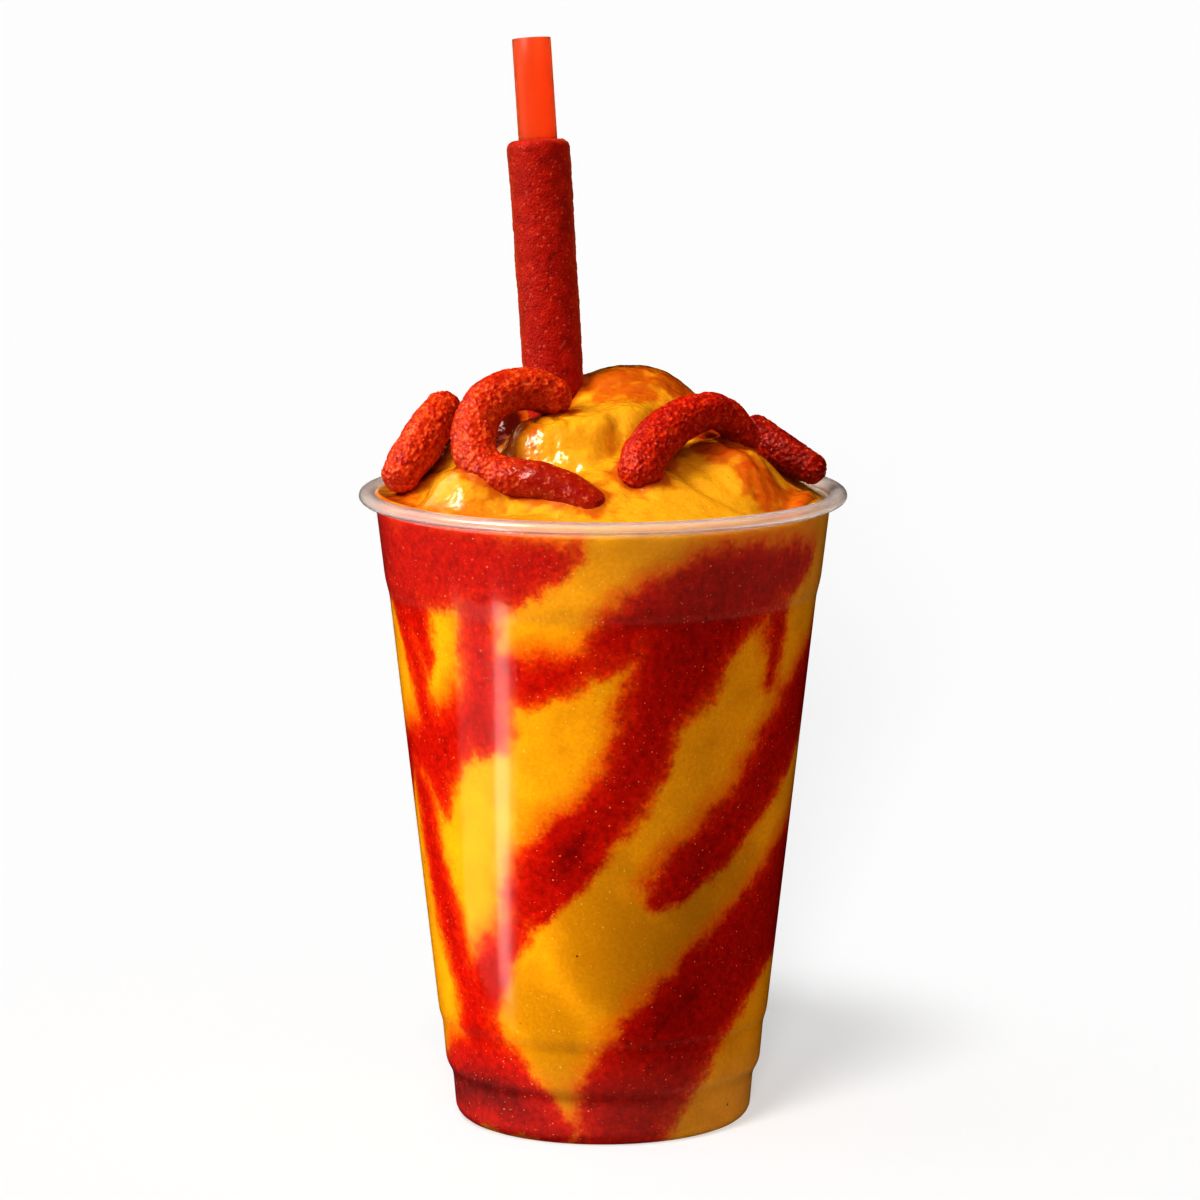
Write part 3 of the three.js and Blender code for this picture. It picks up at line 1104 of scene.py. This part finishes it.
WORMS = (
    CandyWorm(
        "curled_worm",
        "worm_curled",
        (4.3, 4.7, 4.7, 4.1, 3.6),
        (
            (-10.3, -9.2, 21), (-14, -10.5, 22.5), (-18.8, -13, 22.4), (-23.3, -16, 20),
            (-25.4, -19.5, 15.6), (-25.2, -23, 11.2), (-22.4, -26, 8), (-17.8, -28.6, 7.3),
            (-12.3, -30.6, 6.9), (-7.2, -32.5, 5.4), (-2.8, -34.6, 2.9),
        ),
        LIT_CRUST,
        wet_from=0.6,
    ),
    CandyWorm(
        "left_worm",
        "worm_left",
        (4.1, 4.6, 4.8, 4.6, 4.1),
        (
            (-40.2, -10.5, 5.6), (-38.8, -9, 7.9), (-36.9, -6.5, 10.2), (-34.8, -3.5, 13.2),
            (-33.4, -0.5, 15.2), (-32.2, 2.5, 16.6),
        ),
        LIT_CRUST,
    ),
    CandyWorm(
        "arched_worm",
        "worm_arched",
        (4.8, 4.9, 4.4, 3.8, 3.6),
        (
            (7.4, -27.4, 8.9), (8.2, -24.8, 11.1), (11.2, -20.5, 14.3), (15.4, -16.3, 17.1),
            (21.2, -12, 18.4), (24.9, -8.8, 16.5), (28.1, -6, 12.3),
        ),
        HALF_SHADED_CRUST,
    ),
    CandyWorm(
        "right_worm",
        "worm_right",
        (3.9, 4.0, 4.0, 3.8, 3.4),
        ((30.7, 7, 11.4), (33.6, 5, 9.6), (37, 2.6, 7.5), (39.6, 1, 6.3), (41.8, -0.5, 5.3)),
        SHADED_CRUST,
    ),
)


# The drink


@dataclass(frozen=True)
class Lump:
    """One rounded heap of the mound, with its rise above the rim and its turn in degrees.

    A fullness of 1 is a plain dome, and the tilt is the extra rise for each millimetre along it.
    """

    x: float
    y: float
    rise: float
    length: float
    width: float
    turn: float = 0.0
    fullness: float = 1.0
    tilt: float = 0.0

    def height(self, x: np.ndarray, y: np.ndarray) -> np.ndarray:
        """How high the lump stands above the rim at some places."""
        turn = math.radians(self.turn)
        along = (x - self.x) * math.cos(turn) + (y - self.y) * math.sin(turn)
        across = (y - self.y) * math.cos(turn) - (x - self.x) * math.sin(turn)
        reach = (along / self.length) ** 2 + (across / self.width) ** 2
        return self.rise * (1 - reach**self.fullness) + self.tilt * along


@dataclass(frozen=True)
class Mound:
    """The heaped surface of the drink: a sloping level with lumps that run into each other."""

    level: float = -0.5
    fall: float = 1.6
    fall_towards: float = 35.0
    reach: float = 49.0
    blend: float = 2.4
    lumps: tuple[Lump, ...] = (
        Lump(0, 2, 15.5, 43, 43),
        Lump(5, 7, 25, 25, 23, 0, 1.25),
        Lump(-18, 6, 19, 13, 12, 0, 1.2),
        Lump(20, 6, 17.5, 14, 13, 0, 1.2),
        Lump(-4, -8.5, 18.6, 21.5, 13.5, 20, 2.6, 0.14),
        Lump(24, -10.5, 12.9, 20, 15, -18, 1.1),
        Lump(-24, -22.5, 9.2, 13, 11.5, 15, 1.7),
        Lump(-25, 5, 13.5, 15, 18),
        Lump(-14, 26, 12.5, 19, 13, 25, 1.3),
        Lump(20, 24, 11, 16, 13, -40, 1.3),
    )

    def height(self, x: np.ndarray, y: np.ndarray) -> np.ndarray:
        """The height of the smooth surface above the table at some places."""
        towards = math.radians(self.fall_towards)
        height = self.level - self.fall * (x * math.cos(towards) + y * math.sin(towards)) / self.reach
        for lump in self.lumps:
            other = lump.height(x, y)
            closeness = np.clip(self.blend - np.abs(height - other), 0, None) / self.blend
            height = np.maximum(height, other) + closeness**2 * self.blend / 4
        return RIM_HEIGHT + height


@dataclass(frozen=True)
class Swirl:
    """A stroke along the wall: angles in degrees from the front to the right, heights and half widths."""

    points: tuple[Triple, ...]
    line_steps: int = 3

    def tube(self, cup: ClearCup, inset: float) -> tuple[np.ndarray, np.ndarray]:
        """The stroke as a middle line in space and its radii.

        Args:
            cup: The cup whose wall it follows.
            inset: How far it lies inside the cup's outer face.

        Returns:
            The points of the middle line, and the radius at each.
        """
        rows = spline(np.array(self.points, dtype=float), self.line_steps)
        angle = np.radians(rows[:, 0])
        radius = cup.radius_at(rows[:, 1]) - inset
        line = np.column_stack([radius * np.sin(angle), -radius * np.cos(angle), rows[:, 1]])
        return line, rows[:, 2]


SWIRLS = (
    # the band under the rim, from the back left to the front, and its drips
    Swirl((
        (-125, 121, 2), (-115, 118, 5), (-100, 115, 8), (-85, 117, 9), (-70, 117, 8), (-55, 118, 8),
        (-40, 118, 7.5), (-25, 118, 6), (-15, 120, 3.5), (-8, 121.5, 1),
    )),
    Swirl(((-64, 114, 7), (-62, 106, 5), (-58, 100, 2.5), (-57, 97, 1))),
    Swirl(((-72, 110, 4), (-66, 100, 2.5), (-63, 92, 2.5), (-60, 86, 3))),
    Swirl(((-33, 112, 4), (-35, 105, 3.5), (-34, 98, 4), (-35, 92, 5), (-38, 86, 6))),
    Swirl(((-36, 90, 5.5), (-45, 84, 4.5), (-55, 80, 6.5), (-60, 78, 5))),
    Swirl(((-60, 78, 5), (-57, 73, 3.5), (-56, 68, 1.5))),
    Swirl((
        (-62, 80, 5), (-72, 78, 3.5), (-80, 76, 4), (-95, 70, 6), (-110, 64, 6), (-125, 58, 5),
        (-138, 52, 3.5), (-146, 47, 1.5),
    )),
    Swirl(((-30, 97, 3), (-22, 96, 3.4), (-15, 96.5, 3), (-8, 98, 1.8), (-2, 100, 1.8), (5, 103, 3))),
    # the main sweep from the upper right down to the left
    Swirl((
        (66, 117, 2), (56, 116, 5), (45, 114, 7), (35, 112, 9), (25, 107, 10.5), (20, 98, 8), (15, 89, 5.5),
        (10, 80, 4.8), (3, 71, 4.6), (-6, 64, 4.6), (-15, 58, 5), (-22, 53, 4.5), (-25, 49, 2.5),
    )),
    Swirl(((25, 110, 8), (14, 109, 6), (5, 106, 3.5), (-2, 103, 1.5))),
    Swirl(((-28, 46, 1.6), (-33, 42, 1.6), (-37, 39, 2.2), (-41, 34, 3.5), (-43, 30, 2))),
    # the band along the lower left, down to the foot
    Swirl((
        (-70, 70, 3.5), (-67, 60, 3.6), (-63, 50, 4), (-59, 42, 3.8), (-55, 35, 3.2), (-51, 28, 3.5),
        (-50, 22, 5), (-48, 16, 6),
    )),
    Swirl((
        (-130, 2, 3), (-118, 5, 4), (-100, 8, 5), (-80, 7, 5), (-65, 9, 7), (-50, 12, 9), (-38, 9, 6),
        (-28, 6, 4), (-20, 3, 2.5),
    )),
    # the second and third sweeps, which come round from the back right
    Swirl((
        (135, 116, 10), (118, 108, 9), (100, 98, 8), (82, 90, 8), (72, 86, 8), (62, 79, 7), (54, 73, 5.5),
        (45, 67, 4.5), (36, 62, 4.2), (27, 57.5, 3.5), (20, 54, 2), (17, 52.5, 1),
    )),
    Swirl((
        (176, 97, 2), (165, 92, 5), (150, 84, 7), (132, 76, 8), (115, 66, 9), (98, 56, 10), (82, 49, 12),
        (70, 45, 10.5), (58, 40, 9.5), (46, 34, 9), (35, 28, 9), (25, 21, 9.5), (17, 14, 9.5), (10, 7, 8.5),
        (7, 0, 8),
    )),
    Swirl(((53, 108, 1.2), (54, 100, 1.2), (53, 94, 0.8))),
    # the back of the cup
    Swirl((
        (-135, 122, 7), (-148, 112, 8), (-160, 100, 7), (-170, 88, 5), (-178, 78, 3.5), (-184, 70, 2),
    )),
    Swirl((
        (-100, 50, 3), (-112, 42, 5), (-126, 34, 6.5), (-140, 27, 7), (-155, 20, 7), (-170, 13, 6),
        (-185, 7, 5), (-200, 3, 4),
    )),
    Swirl(((110, 30, 2), (122, 36, 4.5), (136, 42, 5), (150, 47, 4), (162, 52, 2))),
)


# Painted shade: where the drink behind the wall is painted darker, across the lower front and at the foot
SHADE_PATCHES = (
    Swirl(((-16, 66, 3), (-8, 58, 6), (-3, 50, 8), (3, 42, 9), (10, 36, 8), (18, 32, 6))),
    Swirl(((14, 30, 5), (20, 38, 7), (30, 46, 7), (42, 55, 5))),
    Swirl(((-34, 34, 5), (-22, 26, 6), (-12, 14, 6))),
    Swirl(((-80, 5, 6), (-60, 5, 8), (-40, 4, 8), (-24, 2, 4))),
)


@dataclass(frozen=True)
class Crease:
    """A fold pressed into the mound: its way seen from above, its depth and its half width.

    A depth less than zero makes a ridge.
    """

    points: tuple[tuple[float, float], ...]
    depth: float
    width: float
    line_steps: int = 5

    def press(self, points: np.ndarray) -> np.ndarray:
        """How far the fold lowers the mound at some places."""
        way = spline(np.array([(x, y, 0.0) for x, y in self.points]), self.line_steps)
        gap = -tube_depth(points * (1, 1, 0), way, np.zeros(len(way)))
        return self.depth * np.exp(-((gap / self.width) ** 2))


CREASES = (
    # round the lobe in front of the crown, with its swollen edge and the wrinkles on it
    Crease(((-20, -11), (-19.6, -16), (-17, -19.3), (-12.6, -21), (-9.3, -22.6), (-5.7, -24.2)), 1.5, 1.5),
    Crease(((-5.7, -24.2), (-2.6, -24), (0.2, -21.8), (1.8, -18), (2.6, -14.5)), 1.2, 1.7),
    Crease(((-16.5, -13), (-14, -16.6), (-9.5, -18.8), (-4.5, -20.2), (-0.5, -18)), -0.8, 2.4),
    Crease(((-16.4, -14.2), (-14.6, -15.8), (-13.2, -18.8)), 0.45, 0.7),
    Crease(((-13.8, -12.4), (-12.9, -14.8), (-10.6, -16)), 0.5, 0.8),
    Crease(((-11.6, -17.2), (-9.9, -18.4), (-9.4, -20.6)), 0.45, 0.7),
    Crease(((-9.6, -12.2), (-9.1, -14.4), (-6.8, -15.9), (-6.6, -18.6)), 0.45, 0.8),
    Crease(((-5.6, -12), (-3.6, -13.9), (-3.9, -16.6)), 0.3, 0.8),
    Crease(((-3.2, -18.2), (-1.6, -16.4), (0.2, -16.2)), 0.35, 0.8),
    # the valley, and the wet dents in it
    Crease(((3.6, -15), (4.3, -19), (4.9, -26), (5.7, -32)), 0.9, 1.8),
    Crease(((1.2, -25.5), (4.6, -28.2), (8.8, -33)), 0.5, 0.9),
    # the ribs of the right lump, and the fold at its foot
    Crease(((19.2, -14.4), (22.6, -16.2), (26.4, -19.9), (30.9, -23)), 0.45, 0.9),
    Crease(((23.3, -9.3), (25.9, -13.4), (29.6, -16.2), (32.5, -21.4)), 0.5, 1.1),
    Crease(((26.5, -18.4), (29.4, -20.2), (30.2, -23.4)), 0.5, 0.8),
    Crease(((29, -9.5), (31.4, -13.5), (35.4, -16.4)), 0.4, 1.3),
    Crease(((15, -22.6), (19, -26.4), (25, -28.4), (32, -27), (37, -22)), 0.8, 1.6),
    # the steep right end of the right lump, and the dent in which the arched worm's end lies
    Crease(((36, -24), (36.8, -14), (37.2, -3)), 3.8, 4.8),
    Crease(((27.5, -11), (30.5, -9)), 1.5, 3.2),
    # the steep side of the left lump, and the dents on it
    Crease(((-34.6, -12), (-36.4, -18), (-35, -25), (-30.5, -31)), 1.1, 1.7),
    Crease(((-30.5, -20), (-27.5, -25), (-26.5, -29.5)), 0.5, 1.0),
    Crease(((-24, -33), (-17, -35.2), (-10, -37.6)), 0.4, 1.1),
    # the shoulder of the crown, beside the straw
    Crease(((-3.4, 1.6), (-1, -1.4), (3.4, -1.2), (8.4, 2)), 0.8, 1.3),
    Crease(((1.5, -4.6), (7, -3.4), (12.5, -0.6), (17, 4)), 0.45, 1.4),
)


@dataclass(frozen=True)
class SauceDab:
    """A patch of sauce on the mound: its place, its radius and how much sauce lies there.

    An amount of about 2 paints shade there, as a dark and smoother pool.
    """

    x: float
    y: float
    radius: float
    amount: float


@dataclass(frozen=True)
class Smoothie:
    """The drink, from the cup's floor to the mound.

    Its side lies by the inset inside the cup's outer face and its foot bites into the cup's floor, so that it
    just reaches into the plastic and no air gap shows.
    """

    cup: ClearCup
    mound: Mound
    worms: tuple[CandyWorm, ...]
    straw_line: StrawLine
    coating_radius: float = 5.9
    coated_up_to: float = 40.0
    inset: float = 0.38
    floor_bite: float = 0.1
    soak: float = 1.0
    deepest: float = 6.0
    top_radius: float = 45.2
    edge_ring: float = 0.1
    still_flat: float = 2 * RIM_HEIGHT
    ring: float = 0.45
    row: float = 1.4
    least_row: float = 0.1
    segments: int = 440
    folds: Ripple = Ripple(0.45, 9.0, 2)
    fold_stretch: Triple = (0.6, 1.0, 1.0)
    pulp: Ripple = Ripple(0.2, 2.3, 2, 4.0)
    wobbles: tuple[Ripple, ...] = tuple(Ripple(1.6, 8.0, 2, shift) for shift in (0.0, 11.0, 23.0))
    bleed_shift: Triple = (0.8, 0.0, -2.2)
    darker_mango_edge: Span = (-8.0, 6.0)
    calm_edge: float = 4.0
    creep_height: float = 0.7
    creep_reach: float = 0.9
    near_toppings_reach: float = 2.6
    dab_core: float = 0.3
    dabs: tuple[SauceDab, ...] = (
        SauceDab(5, 1, 13, 0.9),
        SauceDab(10, 13, 14, 0.9),
        SauceDab(15, 3, 8, 0.95),
        SauceDab(-3, 2, 6, 1.0),
        # painted shade: dark pools in the gaps behind the curled worm and under the arched worm
        SauceDab(-22, -6, 5.5, 2.3),
        SauceDab(-20, 0, 7, 2.2),
        SauceDab(23, -5, 6.5, 2.2),
        # sauce, and the painted shadow of the arched worm on the right lump
        SauceDab(23.5, -13, 9, 1.2),
        SauceDab(31, -20, 8, 1.0),
        SauceDab(39, -19, 8, 1.0),
        SauceDab(42, -8, 7, 0.9),
        SauceDab(-39.5, -14, 6, 0.6),
        SauceDab(-17, -19, 4, 0.6),
        # the next two: sauce fibres, and painted shade on the lobe and on the left lump
        SauceDab(-13, -15.5, 7, 0.55),
        SauceDab(-27, -25, 9, 0.42),
        SauceDab(4, -23, 4, 0.45),
        SauceDab(-2.5, -36, 5, 0.7),
        SauceDab(8, -30, 6, 0.5),
        SauceDab(-20, -31, 5, 0.5),
        SauceDab(-24, -34, 5, 0.35),
        SauceDab(-20, 22, 12, 0.6),
        SauceDab(20, 26, 10, 0.6),
    )

    def outline(self) -> Outline:
        """The drink's outline, with its top flat above the rim for now."""
        floor = self.cup.wall - self.floor_bite
        side = np.array(self.cup.side())
        low, high = floor + 2 * self.least_row, side[-1, 1]
        heights = np.unique(np.concatenate([side[side[:, 1] > low, 1], np.arange(low, high, self.row)]))
        heights = heights[np.concatenate([[True], np.diff(heights) > self.least_row])]
        wall = list(zip(self.cup.radius_at(heights) - self.inset, heights))
        flat = self.cup.floor(floor) + [(self.cup.flat_radius, floor)]
        rings = np.linspace(self.top_radius, 0, round(self.top_radius / self.ring))
        top = [(radius, self.still_flat) for radius in rings]
        return [(float(radius), float(height)) for radius, height in flat + wall + top]

    def relief_on(self, points: np.ndarray) -> np.ndarray:
        """Folds, pulp and small lumps that stand in and out of the smooth mound.

        Args:
            points: Places on the smooth mound.

        Returns:
            How far each place is raised.
        """
        raised = self.folds.at(points * self.fold_stretch) + self.pulp.at(points)
        pressed = sum(crease.press(points) for crease in CREASES)
        from_axis = np.hypot(points[:, 0], points[:, 1])
        return (raised - pressed) * smooth_step(from_axis, self.top_radius, self.top_radius - self.calm_edge)

    def creep(self, points: np.ndarray) -> np.ndarray:
        """How far the wet surface creeps up at the candy and the coating, at some places on the mound."""
        return self.creep_height * np.exp(self.depth_in_toppings(points) / self.creep_reach)

    def depth_in_toppings(self, points: np.ndarray) -> np.ndarray:
        """How deep points lie in the candy or the coating, less than zero outside and 0 at most."""
        low, high = self.straw_line.point(0), self.straw_line.point(self.coated_up_to)
        coated = tube_depth(points, np.array([low, high]), np.full(2, self.coating_radius))
        depths = [coated, *(worm.depth(points) for worm in self.worms)]
        return np.minimum(np.max(depths, axis=0), 0)

    def build(self) -> bpy.types.Object:
        """Turn the filling, raise its mound, swirl the sauce in and dress it."""
        piece = Piece("mango_chamoy_smoothie", turned(self.outline(), self.segments))
        points = piece.points
        is_top = points[:, 2] > (RIM_HEIGHT + self.still_flat) / 2
        surface = points[is_top]
        surface[:, 2] = self.mound.height(surface[:, 0], surface[:, 1])
        surface[:, 2] += self.relief_on(surface)
        surface[:, 2] += self.creep(surface)
        points[is_top] = surface
        piece.points = points
        open_radius = self.top_radius - self.edge_ring
        piece.take_second_finish(
            lambda at: (at[:, 2] > COLLAR_HEIGHT) & (np.hypot(at[:, 0], at[:, 1]) < open_radius)
        )
        self.swirl_in(piece, points)
        self.dab(piece, points, is_top)
        return piece.finish(Slot.SMOOTHIE, "smoothie", DrinkInCup().make(), DrinkInAir().make())

    def swirl_in(self, piece: Piece, points: np.ndarray) -> None:
        """Paint how deep each point lies in the sauce, and in the orange that bleeds up from it.

        Args:
            piece: The drink.
            points: Its points.
        """
        places = points + np.column_stack([wobble.at(points) for wobble in self.wobbles])
        lower = places + self.bleed_shift
        tubes = [swirl.tube(self.cup, self.inset) for swirl in SWIRLS]
        for name, where in (("swirl", places), ("bleed", lower)):
            depths = [tube_depth(where, line, radii + self.soak) for line, radii in tubes]
            piece.paint(name, np.minimum(np.max(depths, axis=0), self.deepest))
        # painted shade: darker patches low on the wall
        patches = [tube_depth(places, *patch.tube(self.cup, self.inset)) for patch in SHADE_PATCHES]
        piece.paint("shade_patch", smooth_step(np.max(patches, axis=0), *self.darker_mango_edge))

    def dab(self, piece: Piece, points: np.ndarray, is_top: np.ndarray) -> None:
        """Paint where sauce lies on the mound, with the most of it as painted shade.

        Args:
            piece: The drink.
            points: Its points.
            is_top: Which of them are on the mound.
        """
        amount = np.zeros(len(points))
        for spot in self.dabs:
            gap = np.hypot(points[:, 0] - spot.x, points[:, 1] - spot.y)
            there = 1 - smooth_step(gap, self.dab_core * spot.radius, spot.radius)
            amount = np.maximum(amount, spot.amount * there)
        # the mound takes sauce colour close to the candy and the coating, fading with the distance
        near_toppings = np.exp(self.depth_in_toppings(points) / self.near_toppings_reach)
        piece.paint("sauce", np.maximum(amount, near_toppings) * is_top)


# The studio


class Lit(str, Enum):
    """What a lamp lights."""

    DRINK = "the drink and its cup"
    WET_PARTS = "the drink without its cup"
    TABLE = "the table"


@dataclass(frozen=True)
class Softbox:
    """A large far lamp. Its direction is in degrees: from the front to the right, and above the horizon."""

    name: str
    lit: Lit
    strength: float
    width: float
    azimuth: float
    elevation: float
    only_glints: bool = False
    colour: str = "#ffffff"

    def build(self, scene: bpy.types.Scene, floor: bpy.types.Object, cup: bpy.types.Object) -> None:
        """Hang the lamp.

        Args:
            scene: The scene that takes it.
            floor: The floor, which it either lights alone or leaves out.
            cup: The cup, which it may leave out.
        """
        light = bpy.data.lights.new(self.name, "SUN")
        light.energy = self.strength
        light.angle = math.radians(self.width)
        light.color = linear(self.colour)[:3]
        lamp = bpy.data.objects.new(self.name, light)
        across, up = math.radians(self.azimuth), math.radians(self.elevation)
        back = Vector((math.sin(across) * math.cos(up), -math.cos(across) * math.cos(up), math.sin(up)))
        lamp.rotation_euler = back.to_track_quat("Z", "Y").to_euler()
        lamp.visible_glossy = self.only_glints
        lamp.visible_diffuse = not self.only_glints
        scene.collection.objects.link(lamp)
        linked = bpy.data.collections.new(self.name)
        for piece in [floor, cup] if self.lit is Lit.WET_PARTS else [floor]:
            linked.objects.link(piece)
        for member in linked.collection_objects:
            member.light_linking.link_state = "INCLUDE" if self.lit is Lit.TABLE else "EXCLUDE"
        lamp.light_linking.receiver_collection = linked


@dataclass(frozen=True)
class Strip:
    """A lamp as long as the cup, whose reflection runs down the wall. Its top and foot are in metres."""

    name: str
    top: Triple
    foot: Triple
    width: float
    power: float

    def build(self, scene: bpy.types.Scene) -> None:
        """Stand the lamp with its face to the cup."""
        top, foot = Vector(self.top), Vector(self.foot)
        light = bpy.data.lights.new(self.name, "AREA")
        light.shape = "RECTANGLE"
        light.size = self.width
        light.size_y = (top - foot).length
        light.energy = self.power
        lamp = bpy.data.objects.new(self.name, light)
        upwards = (top - foot).normalized()
        away = Vector((top.x, top.y, 0))
        away = (away - upwards * away.dot(upwards)).normalized()
        turn = Matrix((upwards.cross(away), upwards, away)).transposed()
        lamp.matrix_world = Matrix.Translation((top + foot) / 2) @ turn.to_4x4()
        lamp.visible_camera = lamp.visible_diffuse = lamp.visible_transmission = False
        scene.collection.objects.link(lamp)


@dataclass(frozen=True)
class Studio:
    """White floor, soft light from the front left and the camera at the photograph's angle."""

    camera_place: Triple = (-0.0006, -1.2238, 0.3059)
    camera_pitch: float = 9.29
    lens: float = 184.755
    floor_half: float = 8.0
    floor_colour: str = "#b3b3b3"
    floor_glow: float = 0.45
    sky: float = 0.1
    sky_through_plastic: float = 0.3
    exposure: float = -0.4
    softboxes: tuple[Softbox, ...] = (
        Softbox("key", Lit.DRINK, 4.0, 30, -64, 45),
        Softbox("glints", Lit.WET_PARTS, 2.9, 24, -60, 42, only_glints=True),
        Softbox("side_glints", Lit.WET_PARTS, 1.8, 30, -85, 6, only_glints=True),
        Softbox("back_glints", Lit.WET_PARTS, 0.6, 40, -120, 40, only_glints=True),
        Softbox("top_fill", Lit.DRINK, 0.8, 60, -20, 80),
        Softbox("warm_fill", Lit.DRINK, 1.45, 150, 42, 15, colour="#ffdbbc"),
        Softbox("table_left", Lit.TABLE, 0.55, 90, -55, 55),
        Softbox("table_front", Lit.TABLE, 4.0, 10, -2.5, 12),
        Softbox("table_high", Lit.TABLE, 1.84, 15, -18, 59),
    )
    strips: tuple[Strip, ...] = (
        Strip("strip", (-0.0676, -0.069, 0.088), (-0.0714, -0.0446, 0.0066), 0.012, 0.02),
        Strip("haze", (-0.0783, -0.0561, 0.084), (-0.0795, -0.0282, 0.0066), 0.055, 0.015),
    )

    def build(self, cup: bpy.types.Object) -> None:
        """Build the floor, the lights and the camera.

        Args:
            cup: The cup, which some lights leave out.
        """
        scene = bpy.context.scene
        scene.view_settings.view_transform = "Standard"
        scene.view_settings.look = "High Contrast"
        scene.view_settings.exposure = self.exposure
        self.build_camera(scene)
        floor = self.build_floor(scene)
        self.build_sky(scene)
        for softbox in self.softboxes:
            softbox.build(scene, floor, cup)
        for strip in self.strips:
            strip.build(scene)

    def build_camera(self, scene: bpy.types.Scene) -> None:
        """Put the camera in its place."""
        lens = bpy.data.cameras.new("camera")
        lens.lens = self.lens
        lens.clip_start = 0.01
        camera = bpy.data.objects.new("camera", lens)
        camera.location = self.camera_place
        camera.rotation_euler = Euler((math.radians(90 - self.camera_pitch), 0, 0))
        scene.collection.objects.link(camera)
        scene.camera = camera

    def build_floor(self, scene: bpy.types.Scene) -> bpy.types.Object:
        """Lay the floor, white acrylic lit from below, which neither lights the drink nor dulls its gloss."""
        shape = bmesh.new()
        bmesh.ops.create_grid(shape, x_segments=1, y_segments=1, size=self.floor_half)
        mesh = bpy.data.meshes.new("floor")
        shape.to_mesh(mesh)
        shape.free()
        material, _, _ = new_material(
            "lit_white_acrylic",
            Base_Color=self.floor_colour,
            Specular_IOR_Level=0.0,
            Emission_Color="#ffffff",
            Emission_Strength=self.floor_glow,
        )
        mesh.materials.append(material)
        floor = bpy.data.objects.new("floor", mesh)
        floor.visible_diffuse = floor.visible_glossy = False
        scene.collection.objects.link(floor)
        return floor

    def build_sky(self, scene: bpy.types.Scene) -> None:
        """Surround the set with dim white light, which gloss doesn't mirror and clear plastic lets in."""
        world = bpy.data.worlds.new("studio")
        world.use_nodes = True
        tree = world.node_tree
        path = add_node(tree, "LightPath")
        unseen = add_node(tree, "Math", {0: 1.0, 1: path.outputs["Is Glossy Ray"]}, operation="SUBTRACT")
        dimmed = add_node(tree, "Math", {0: unseen, 1: self.sky}, operation="MULTIPLY")
        through = {0: path.outputs["Is Transmission Ray"], 1: self.sky_through_plastic, 2: dimmed}
        strength = add_node(tree, "Math", through, operation="MULTIPLY_ADD")
        set_inputs(tree, tree.nodes["Background"], {"Color": "#ffffff", "Strength": strength})
        scene.world = world


def main() -> None:
    """Build the studio and the drink, piece by piece."""
    logging.basicConfig(level=logging.INFO, format="%(name)s: %(message)s")
    cup = ClearCup()
    line = StrawLine()
    Studio().build(cup.build())
    Straw(line).build()
    StrawCoating(line).build()
    for worm in WORMS:
        worm.build()
    Smoothie(cup, Mound(), WORMS, line).build()


if __name__ == "__main__":
    main()
